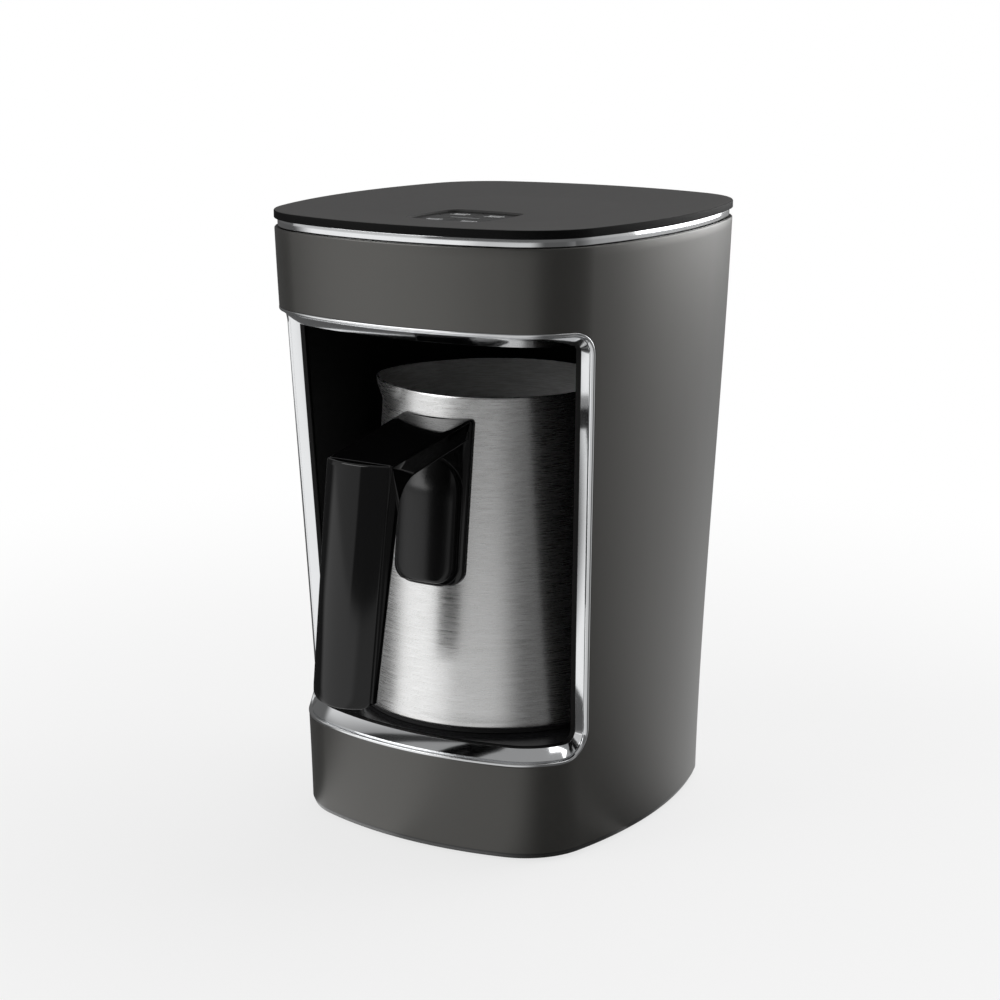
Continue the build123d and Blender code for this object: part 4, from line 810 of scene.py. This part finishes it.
# ---- Materials ------------------------------------------------------------------------------
class Value:
    """A number in a material: an output socket that arithmetic turns into Math nodes."""

    def __init__(self, finish, socket):
        self.finish, self.socket = finish, socket

    def math(self, operation, *others):
        sockets = dict(enumerate((self, *others)))
        return self.finish.node("ShaderNodeMath", {"operation": operation}, sockets)

    def __add__(self, other):
        return self.math("ADD", other)

    __radd__ = __add__

    def __mul__(self, other):
        return self.math("MULTIPLY", other)

    __rmul__ = __mul__

    def __sub__(self, other):
        return self.math("SUBTRACT", other)

    def __rsub__(self, other):
        return (self * -1.0) + other

    def __pow__(self, other):
        return self.math("POWER", other)

    def __lt__(self, other):
        return self.math("LESS_THAN", other)

    def __gt__(self, other):
        return self.math("GREATER_THAN", other)

    def __abs__(self):
        return self.math("ABSOLUTE")


class Tree:
    """Puts nodes into one node tree and hands their outputs back as values."""

    def __init__(self, tree):
        self.tree = tree

    def put(self, node, socket, value):
        target = node.inputs[socket]
        if isinstance(value, Value):
            self.tree.links.new(value.socket, target)
        else:
            target.default_value = value

    def node(self, kind, settings=None, sockets=None, output=0):
        """Any node: its type, its settings, then the values or links of its sockets."""
        node = self.tree.nodes.new(kind)
        for setting, value in (settings or {}).items():
            if setting == "stops":
                ramp = node.color_ramp.elements
                while len(ramp) < len(value):
                    ramp.new(0.5)
                for element, (place, tone) in zip(ramp, value):
                    element.position = place
                    element.color = (*tone, 1.0) if hasattr(tone, "__len__") else (tone, tone, tone, 1.0)
            else:
                setattr(node, setting, value)
        for socket, value in (sockets or {}).items():
            self.put(node, socket, value)
        return Value(self, node.outputs[output]) if node.outputs else None

    def parts(self, vector):
        split = self.node("ShaderNodeSeparateXYZ", None, {0: vector})
        return [Value(self, part) for part in split.socket.node.outputs]

    def vector(self, x, y, z):
        return self.node("ShaderNodeCombineXYZ", None, {0: x, 1: y, 2: z})

    def rise(self, value, low, high):
        """0 up to low, 1 from high on, smooth between; falls instead where high is under low."""
        settings = {"interpolation_type": "SMOOTHSTEP"}
        return self.node("ShaderNodeMapRange", settings, {0: value, 1: low, 2: high})

    def noise(self, vector, scale=1.0, detail=3.0, roughness=0.5):
        sockets = {"Vector": vector, "Scale": scale, "Detail": detail, "Roughness": roughness}
        return self.node("ShaderNodeTexNoise", None, sockets)

    def mix(self, factor, first, second):
        """The first tone where the factor is 0, the second where it is 1."""
        tones = [tone if isinstance(tone, Value) else (*tone, 1.0) for tone in (first, second)]
        settings = {"data_type": "RGBA"}
        return self.node("ShaderNodeMix", settings, {0: factor, 6: tones[0], 7: tones[1]}, output=2)


class Finish(Tree):
    """A procedural material under construction around one Principled shader."""

    def __init__(self, name, constants):
        self.material = bpy.data.materials.new(name)
        self.material.use_nodes = True
        super().__init__(self.material.node_tree)
        self.shader = self.tree.nodes["Principled BSDF"]
        for socket, value in constants.items():
            self.shader.inputs[socket].default_value = value

    def point(self):
        """The surface point in the shared frame, in metres."""
        return self.node("ShaderNodeTexCoord", output=3)

    def zone(self):
        """The piece's own zone number."""
        return self.node("ShaderNodeAttribute", {"attribute_name": "zone"}, output=2)

    def object_noise(self, scale, detail=3.0):
        return self.noise(self.point(), scale, detail)

    def feed(self, socket, value):
        self.put(self.shader, socket, value)

    def bump(self, height, distance, strength=1.0):
        sockets = {"Strength": strength, "Distance": distance, "Height": height}
        self.feed("Normal", self.node("ShaderNodeBump", None, sockets))


def tint(tone, factor):
    """The tone made lighter or darker by a factor."""
    return tuple(min(1.0, part * factor) for part in tone)


def paint_finish(tone, band):
    """Satin metallic paint: fine flakes, a faint cloudiness and a slight orange peel; the foot band is
    near-black, painted shade for the dark reflection of the shaded floor in the foot chamfer."""
    finish = Finish("body_paint_satin", {"Coat Weight": 0.5, "Coat Roughness": 0.32})
    flake = finish.object_noise(5200.0, 2.0)
    cloud = finish.object_noise(14.0, 2.0)
    paint = finish.mix(flake * 0.7 + cloud * 0.3, tint(tone, 0.80), tint(tone, 1.20))
    zone = finish.zone()
    # the zone marks the foot chamfer, painted near-black and not metallic as painted shade
    finish.feed("Base Color", finish.mix(zone, paint, band))
    finish.feed("Metallic", (1.0 - zone) * 0.72)
    finish.feed("Roughness", flake * 0.08 + cloud * 0.04 + 0.30)
    finish.bump(finish.object_noise(1500.0, 2.0), 0.015 * MM, 0.4)
    return finish.material


def chrome_finish(tone):
    """Polished plating with a faint haze and hairline wear."""
    finish = Finish("chrome_bright", {"Metallic": 1.0})
    haze = finish.object_noise(60.0, 4.0)
    hair = finish.object_noise(2400.0, 2.0)
    finish.feed("Base Color", finish.mix(haze, tint(tone, 0.96), tint(tone, 1.04)))
    finish.feed("Roughness", haze * 0.05 + hair * 0.03 + 0.05)
    finish.bump(haze, 0.03 * MM, 0.25)
    return finish.material


def brushed_finish(name, tone, inside_tone, axis_y):
    """Steel brushed round an upright axis: streaks long in the angle and fine in the height, in tone
    and in sheen. Where the zone says inside, the steel is dull and dark."""
    finish = Finish(name, {})
    x, y, z = finish.parts(finish.point())
    y = y - axis_y
    turn = finish.node("ShaderNodeMath", {"operation": "ARCTAN2"}, {0: y, 1: x})
    radius = (x * x + y * y) ** 0.5
    fine = finish.noise(finish.vector(turn * 9.0, radius * 300.0, z * 6500.0), 1.0, 2.0, 0.6)
    medium = finish.noise(finish.vector(turn * 5.0 + 3.0, radius * 100.0, z * 2600.0), 1.0, 2.0, 0.6)
    streak = finish.rise(fine * 0.6 + medium * 0.4, 0.32, 0.68)
    inside = finish.zone()
    outside_steel = finish.mix(streak, tint(tone, 0.78), tint(tone, 1.10))
    inside_steel = finish.mix(streak, tint(inside_tone, 0.8), tint(inside_tone, 1.2))
    finish.feed("Base Color", finish.mix(inside, outside_steel, inside_steel))
    finish.feed("Metallic", 1.0 - inside * 0.9)
    finish.feed("Roughness", streak * 0.10 + inside * 0.12 + 0.24)
    finish.bump(streak, 0.002 * MM, 0.5)
    return finish.material


def gloss_finish(name, tone, rough=0.06):
    """Moulded gloss plastic: near-black with faint mottling, dust-fine haze and a soft flow mark."""
    finish = Finish(name, {"IOR": 1.5, "Specular IOR Level": 0.42})
    flow = finish.object_noise(35.0, 3.0)
    dust = finish.object_noise(3000.0, 2.0)
    finish.feed("Base Color", finish.mix(flow, tint(tone, 0.8), tint(tone, 1.3)))
    finish.feed("Roughness", flow * 0.03 + dust * 0.02 + (rough - 0.02))
    finish.bump(flow, 0.03 * MM, 0.12)
    return finish.material


def grain_finish(name, tone, rough, scale, depth, edge_tone=None):
    """Fine leathery moulding grain whose top of each grain is painted lighter as a painted glint; the sides
    that the zone marks may have a darker tone."""
    finish = Finish(name, {"IOR": 1.3, "Specular IOR Level": 0.25})
    sockets = {"Vector": finish.point(), "Scale": scale}
    cells = finish.node("ShaderNodeTexVoronoi", {"feature": "F1"}, sockets)
    height = (1.0 - cells) * 0.6 + finish.object_noise(scale * 0.6, 3.0) * 0.4
    # painted highlight: the top of each grain is lighter, standing in for fine glints
    base = finish.mix(height, tint(tone, 0.75), tint(tone, 1.3))
    if edge_tone is not None:
        # the same painted glint on the tops of the grain on the sides
        edge = finish.mix(height, tint(edge_tone, 0.5), tint(edge_tone, 1.6))
        base = finish.mix(finish.zone(), base, edge)
    finish.feed("Base Color", base)
    finish.feed("Roughness", height * 0.12 + (rough - 0.06))
    finish.bump(height, depth, 0.8)
    return finish.material


def metal_finish(name, tone, rough, metallic=1.0):
    """Rolled or turned metal: mottled tone with fine directional marks."""
    finish = Finish(name, {"Metallic": metallic})
    x, y, z = finish.parts(finish.point())
    marks = finish.noise(finish.vector(x * 3000.0, y * 160.0, z * 3000.0), 1.0, 2.0)
    blotch = finish.object_noise(300.0)
    finish.feed("Base Color", finish.mix(marks * 0.5 + blotch * 0.5, tint(tone, 0.8), tint(tone, 1.2)))
    finish.feed("Roughness", marks * 0.14 + blotch * 0.08 + (rough - 0.11))
    finish.bump(marks, 0.02 * MM, 0.5)
    return finish.material


def board_finish():
    """Circuit board: solder mask with lighter copper tracks under it."""
    finish = Finish("board_solder_mask", {"IOR": 1.5})
    x, y, z = finish.parts(finish.point())
    wave = finish.object_noise(260.0, 1.0)
    across = (x + wave * 0.0015) * 420.0
    along = (y + z) * 380.0
    track_a = abs(across - across.math("FLOOR") - 0.5) < 0.16
    track_b = abs(along - along.math("FLOOR") - 0.5) < 0.14
    track = track_a.math("MAXIMUM", track_b)
    finish.feed("Base Color", finish.mix(track, (0.012, 0.075, 0.030), (0.030, 0.150, 0.062)))
    finish.feed("Roughness", wave * 0.1 + 0.28)
    finish.bump(track, 0.03 * MM, 0.5)
    return finish.material


def plain_finish(name, tone, rough):
    """Small moulded or rubber parts: mottled tone, fine matt texture."""
    finish = Finish(name, {"IOR": 1.48})
    grain = finish.object_noise(900.0)
    finish.feed("Base Color", finish.mix(grain, tint(tone, 0.75), tint(tone, 1.25)))
    finish.feed("Roughness", grain * 0.16 + (rough - 0.08))
    finish.bump(grain, 0.02 * MM, 0.6)
    return finish.material


def key_finish(tone, mark):
    """Gloss key with a generic cup mark in light grey: a bowl, its ear and a saucer line, upright for
    a user in front and drawn in units, about the middle of the key whose quarter the point is in."""
    lid = sizes("maker_lid")
    key_x, key_y, unit = 7.9 * MM, 9.8 * MM, 1.7 * MM
    finish = Finish("key_gloss_marked", {"IOR": 1.5})
    x, y, z = finish.parts(finish.point())
    centre_y = MIDDLE_Y - lid.panel_y
    across = (abs(x) - key_x) * ((x > 0.0) * 2.0 - 1.0)
    up = (abs(y - centre_y) - key_y) * ((y > centre_y) * 2.0 - 1.0)

    def bar(left, rise, half_width, half_height):
        """1 in a rectangle whose middle lies so far to the left and so far up."""
        in_width = abs(across + left * unit) < half_width * unit
        return in_width * (abs(up - rise * unit) < half_height * unit)

    bowl = bar(0.25, 0.1, 1.5, 0.85)
    hollow = bar(0.25, 0.25, 1.15, 0.6)
    saucer = bar(0.25, -1.35, 2.1, 0.2)
    ear_reach = ((across - 1.45 * unit) ** 2.0 + (up - 0.2 * unit) ** 2.0) ** 0.5
    ear = (abs(ear_reach - 0.55 * unit) < 0.15 * unit) * (across > 1.25 * unit)
    shape = bowl.math("MAXIMUM", ear).math("MAXIMUM", saucer)
    on_top = z > (lid.top - lid.dish - lid.panel_recess - 0.1 * MM)
    inked = ((shape - hollow * bowl * 0.55) * on_top).math("MAXIMUM", 0.0)
    haze = finish.object_noise(600.0)
    base = finish.mix(haze, tint(tone, 0.8), tint(tone, 1.3))
    finish.feed("Base Color", finish.mix(inked, base, mark))
    finish.feed("Roughness", haze * 0.06 + inked * 0.3 + 0.10)
    finish.bump(haze, 0.02 * MM, 0.15)
    return finish.material


# ---- Stage ----------------------------------------------------------------------------------
CAMERA_PLACE = Vector((0.448534, -0.718780 + MIDDLE_Y, 0.332624 + FOOT_TOP - 1.0 * MM))
CAMERA_FORWARD = Vector((-0.51703768, 0.8215104, -0.24040115))
CAMERA_LENS = 76.306
LIT_POINT = Vector((0.0, 0.0, 0.12))
# name, place, width and height in metres, power in watts
LAMPS = (
    ("light_left", (-1.1, -1.5, 0.95), (1.3, 0.9), 10.0),
    ("light_back_right", (0.9, 1.8, 0.42), (1.6, 0.8), 15.0),
    ("light_top", (0.25, 1.0, 1.9), (2.0, 1.4), 15.0),
)


def add_lamp(name, place, size, power):
    """Soft rectangular lamp that points at the middle of the coffee maker."""
    light = bpy.data.lights.new(name, "AREA")
    light.shape = "RECTANGLE"
    light.size, light.size_y = size
    light.energy = power
    lamp = bpy.data.objects.new(name, light)
    lamp.location = place
    lamp.rotation_euler = (LIT_POINT - Vector(place)).to_track_quat("-Z", "Y").to_euler()
    bpy.context.scene.collection.objects.link(lamp)


def bearing(tree, x, y):
    """Direction in plan in degrees, from 0 to 360 and anticlockwise from the right."""
    turn = tree.node("ShaderNodeMath", {"operation": "ARCTAN2"}, {0: y * -1.0, 1: x * -1.0})
    return turn * (180 / pi) + 180.0


def between(tree, turn, start, full, fading, end):
    """1 from full to fading, 0 before start and after end, smooth between, by direction in degrees."""
    return tree.rise(turn, start, full) * tree.rise(turn, end, fading)


def room_level(tree, turn):
    """Brightness of the studio's wall by direction: a softbox in front and to the left with crisp
    edges, and a soft glow from the right round to the back."""
    softbox = between(tree, turn, 197.0, 201.0, 246.0, 249.0)
    glow = between(tree, turn, 0.0, 50.0, 85.0, 118.0)
    return softbox * 0.46 + glow * 0.45 + 0.13


def ceiling_level(tree, turn):
    """Brightness overhead: two even panels with a dark gap between them, the left one brighter."""
    left = between(tree, turn, 150.0, 166.0, 176.0, 202.0)
    gap = between(tree, turn, 200.0, 202.5, 211.0, 213.5)
    return (left * 0.45 + 0.32) * (1.0 - gap * 0.9)


def ground_level(tree, turn, away):
    """Brightness of the lit ground as mirrors see it: bright before the softbox with a crisp left
    edge that leans in near the object, a dimmer step towards the right front, dark at the right
    corner, a faint light beside it and a glow behind."""
    near = tree.rise(away, 1.0, 0.25)
    softbox = tree.rise(turn - near * 14.0, 200.0, 209.0) * tree.rise(turn, 268.0, 258.0)
    step = between(tree, turn, 258.0, 268.0, 300.0, 322.0)
    glow = between(tree, turn, 0.0, 50.0, 70.0, 118.0)
    beside = tree.rise(turn, 345.0, 362.0)
    level = softbox * 0.88 + step * 0.52 + 0.10
    level = level + glow * (near * 0.14 + 0.38)
    return level + beside * (near * 0.12 + 0.10)


def build_world():
    """Plain studio surroundings: white where the camera looks past the object, and the studio's own
    levels for light and reflections."""
    world = bpy.data.worlds.new("studio_room")
    bpy.context.scene.world = world
    world.use_nodes = True
    world.node_tree.nodes.clear()
    tree = Tree(world.node_tree)
    x, y, z = tree.parts(tree.node("ShaderNodeTexCoord", output=0))
    turn = bearing(tree, x, y)
    overhead = tree.rise(z, 0.45, 0.62)
    level = room_level(tree, turn) * (1.0 - overhead) + ceiling_level(tree, turn) * overhead
    seen = tree.node("ShaderNodeLightPath")
    studio = tree.node("ShaderNodeBackground", None, {"Color": tree.vector(level, level, level)})
    white = tree.node("ShaderNodeBackground", None, {"Color": (1.0, 1.0, 1.0, 1.0)})
    blend = tree.node("ShaderNodeMixShader", None, {0: seen, 1: studio, 2: white})
    tree.node("ShaderNodeOutputWorld", None, {0: blend})


def build_floor(tone):
    """Pale floor: a wide disc that takes the object's shadow softly. It fades to white away from the
    object, and shows the studio's own levels in reflections."""
    rings = np.array([0.02, 0.2, 0.5, 1.2, 3.0, 8.0, 20.0])[:, None]
    around = np.linspace(0.0, 2 * pi, 96, endpoint=False)
    grid = np.stack(np.broadcast_arrays(rings * np.cos(around), rings * np.sin(around), 0.0), axis=-1)
    faces = grid_faces(len(rings), len(around), close_columns=True)
    points, cap = with_pole(grid.reshape(-1, 3), (0.0, 0.0, 0.0), np.arange(len(around)), flip=True)
    finish = Finish("floor_pale", {"Roughness": 0.7, "Specular IOR Level": 0.2})
    cloud = finish.object_noise(3.0, 2.0)
    finish.feed("Base Color", finish.mix(cloud, tint(tone, 0.99), tint(tone, 1.01)))
    x, y, _ = finish.parts(finish.point())
    away = (x * x + y * y) ** 0.5
    turn = bearing(finish, x, y)
    horizon = finish.rise(away, 2.6, 4.0)
    level = ground_level(finish, turn, away) * (1.0 - horizon) + room_level(finish, turn) * horizon
    seen = finish.node("ShaderNodeLightPath")
    mirrored = finish.node("ShaderNodeLightPath", output=3)
    passed = finish.node("ShaderNodeLightPath", output=6)
    white = finish.node("ShaderNodeEmission", None, {"Color": (1.0, 1.0, 1.0, 1.0)})
    studio = finish.node("ShaderNodeEmission", None, {"Color": finish.vector(level, level, level)})
    surface = Value(finish, finish.shader.outputs[0])
    whiteness = seen * (finish.rise(away, 0.16, 0.60) * 0.25 + 0.75)
    looked_at = finish.node("ShaderNodeMixShader", None, {0: whiteness, 1: surface, 2: white})
    by_mirror = mirrored.math("MAXIMUM", passed)
    blend = finish.node("ShaderNodeMixShader", None, {0: by_mirror, 1: looked_at, 2: studio})
    finish.put(finish.tree.nodes["Material Output"], 0, blend)
    floor = new_piece("stage_floor", points, faces, finish.material, None, extra=cap)


# ---- Operators ------------------------------------------------------------------------------
class MAKER_OT_housing(bpy.types.Operator):
    """Builds the painted shell and the bright frame of its opening"""

    bl_idname = "maker.housing"
    bl_label = "Housing and bezel"

    def execute(self, context):
        tones = context.scene.maker_colours
        build_housing(paint_finish(tones.paint, tones.band))
        chamber = grain_finish("chamber_matt", (0.008, 0.008, 0.008), 0.55, 900.0, 0.02 * MM)
        build_bezel(chrome_finish(tones.chrome), chamber)
        return {"FINISHED"}


class MAKER_OT_lid(bpy.types.Operator):
    """Builds the grained lid and the bright ring under it"""

    bl_idname = "maker.lid"
    bl_label = "Lid and trim ring"

    def execute(self, context):
        tones = context.scene.maker_colours
        build_trim_ring(bpy.data.materials["chrome_bright"])
        build_lid(grain_finish("lid_grain", tones.lid, 0.55, 1500.0, 0.06 * MM, tones.lid_edge))
        return {"FINISHED"}


class MAKER_OT_pot(bpy.types.Operator):
    """Builds the brushed steel pot with its spout"""

    bl_idname = "maker.pot"
    bl_label = "Pot"

    def execute(self, context):
        tones = context.scene.maker_colours
        build_pot(brushed_finish("pot_brushed", tones.steel, tones.steel_inside, POT_AXIS_Y))
        return {"FINISHED"}


class MAKER_OT_handle(bpy.types.Operator):
    """Builds the pot's handle: saddle, arm, grip cover and thumb pad"""

    bl_idname = "maker.handle"
    bl_label = "Handle"

    def execute(self, context):
        black = context.scene.maker_colours.black
        gloss = gloss_finish("handle_gloss", black)
        build_saddle(gloss)
        build_arm(gloss)
        build_cover(gloss)
        build_pad(gloss_finish("handle_satin", black, 0.26))
        return {"FINISHED"}


class MAKER_OT_fittings(bpy.types.Operator):
    """Gives every carried-over part of the machine its finish"""

    bl_idname = "maker.fittings"
    bl_label = "Fittings"

    def execute(self, context):
        tones = context.scene.maker_colours
        made = bpy.data.materials
        by_node = {
            "cavity_liner": made["chamber_matt"],
            "pot_platform": gloss_finish("floor_gloss", (0.016, 0.016, 0.017), 0.16),
            "heating_plate": metal_finish("plate_coated", (0.02, 0.02, 0.021), 0.4, 0.3),
            "control_panel": gloss_finish("panel_gloss", tones.black),
            "light_bar": plain_finish("light_guide_milky", (0.30, 0.31, 0.32), 0.3),
            "sensor_window": gloss_finish("lens_smoked", (0.02, 0.008, 0.01)),
            "plate_seal": plain_finish("silicone_red", (0.30, 0.045, 0.03), 0.6),
            "base_cover": grain_finish("base_moulded", (0.018, 0.018, 0.018), 0.6, 1200.0, 0.05 * MM),
            "pot_base_disc": metal_finish("disc_turned", (0.6, 0.6, 0.6), 0.35),
        }
        by_slot = {
            "rubber_black": plain_finish("rubber_matt", tones.rubber, 0.7),
            "steel_sheet": metal_finish("steel_rolled", (0.5, 0.5, 0.5), 0.38),
            "screw_steel": metal_finish("screw_zinc", (0.45, 0.45, 0.46), 0.3),
            "board_green": board_finish(),
            "component_dark": plain_finish("case_dark", (0.03, 0.03, 0.034), 0.5),
            "component_blue": plain_finish("case_blue", (0.03, 0.09, 0.25), 0.45),
            "led_clear": plain_finish("diode_clear", (0.65, 0.64, 0.6), 0.2),
            "wire_grey": plain_finish("wire_sleeve", (0.12, 0.12, 0.12), 0.6),
            "key_black": key_finish(tones.black, tones.mark),
            "chrome_trim": made["chrome_bright"],
            "handle_black": made["handle_gloss"],
            "pot_steel": made["pot_brushed"],
            "body_paint": made["body_paint_satin"],
            "lid_black": made["lid_grain"],
        }
        slot_of = {part["node"]: part["material_slot"] for part in frame["record"]["subparts"]}
        for name, node in frame["nodes"].items():
            node.data.materials.clear()
            node.data.materials.append(by_node.get(name) or by_slot[slot_of[name]])
        return {"FINISHED"}


class MAKER_OT_stage(bpy.types.Operator):
    """Sets the plain floor, the soft lights, the surroundings and the camera"""

    bl_idname = "maker.stage"
    bl_label = "Stage"

    def execute(self, context):
        scene, tones = context.scene, context.scene.maker_colours
        scene.view_settings.view_transform = "Standard"
        build_world()
        build_floor(tones.floor)
        for name, place, size, power in LAMPS:
            add_lamp(name, place, size, power * tones.lamps)
        data = bpy.data.cameras.new("studio_camera")
        data.lens = CAMERA_LENS
        data.sensor_width = 36.0
        data.clip_start, data.clip_end = 0.05, 50.0
        camera = bpy.data.objects.new("studio_camera", data)
        camera.location = CAMERA_PLACE
        camera.rotation_mode = "QUATERNION"
        camera.rotation_quaternion = CAMERA_FORWARD.to_track_quat("-Z", "Y")
        scene.collection.objects.link(camera)
        scene.camera = camera
        return {"FINISHED"}


class MAKER_PT_panel(bpy.types.Panel):
    """Lists the pieces of the coffee maker"""

    bl_label = "Coffee Maker"
    bl_idname = "MAKER_PT_panel"
    bl_space_type = "VIEW_3D"
    bl_region_type = "UI"
    bl_category = "Coffee Maker"

    def draw(self, context):
        for operator in OPERATORS:
            self.layout.operator(operator.bl_idname)
        for group, kind in GROUPS.items():
            box = self.layout.box()
            for name in kind.__annotations__:
                box.prop(getattr(context.scene, group), name)


OPERATORS = (
    MAKER_OT_housing,
    MAKER_OT_lid,
    MAKER_OT_pot,
    MAKER_OT_handle,
    MAKER_OT_fittings,
    MAKER_OT_stage,
)
GROUPS = {
    "maker_body": BodySizes,
    "maker_opening": OpeningSizes,
    "maker_lid": LidSizes,
    "maker_pot": PotSizes,
    "maker_handle": HandleSizes,
    "maker_colours": FinishColours,
}


def register():
    for kind in (*GROUPS.values(), *OPERATORS, MAKER_PT_panel):
        bpy.utils.register_class(kind)
    for name, kind in GROUPS.items():
        setattr(bpy.types.Scene, name, PointerProperty(type=kind))


def unregister():
    for name in GROUPS:
        delattr(bpy.types.Scene, name)
    for kind in (MAKER_PT_panel, *OPERATORS, *GROUPS.values()):
        bpy.utils.unregister_class(kind)


def main():
    register()
    bpy.ops.maker.housing()
    bpy.ops.maker.lid()
    bpy.ops.maker.pot()
    bpy.ops.maker.handle()
    bpy.ops.maker.fittings()
    bpy.ops.maker.stage()


if __name__ == "__main__":
    main()
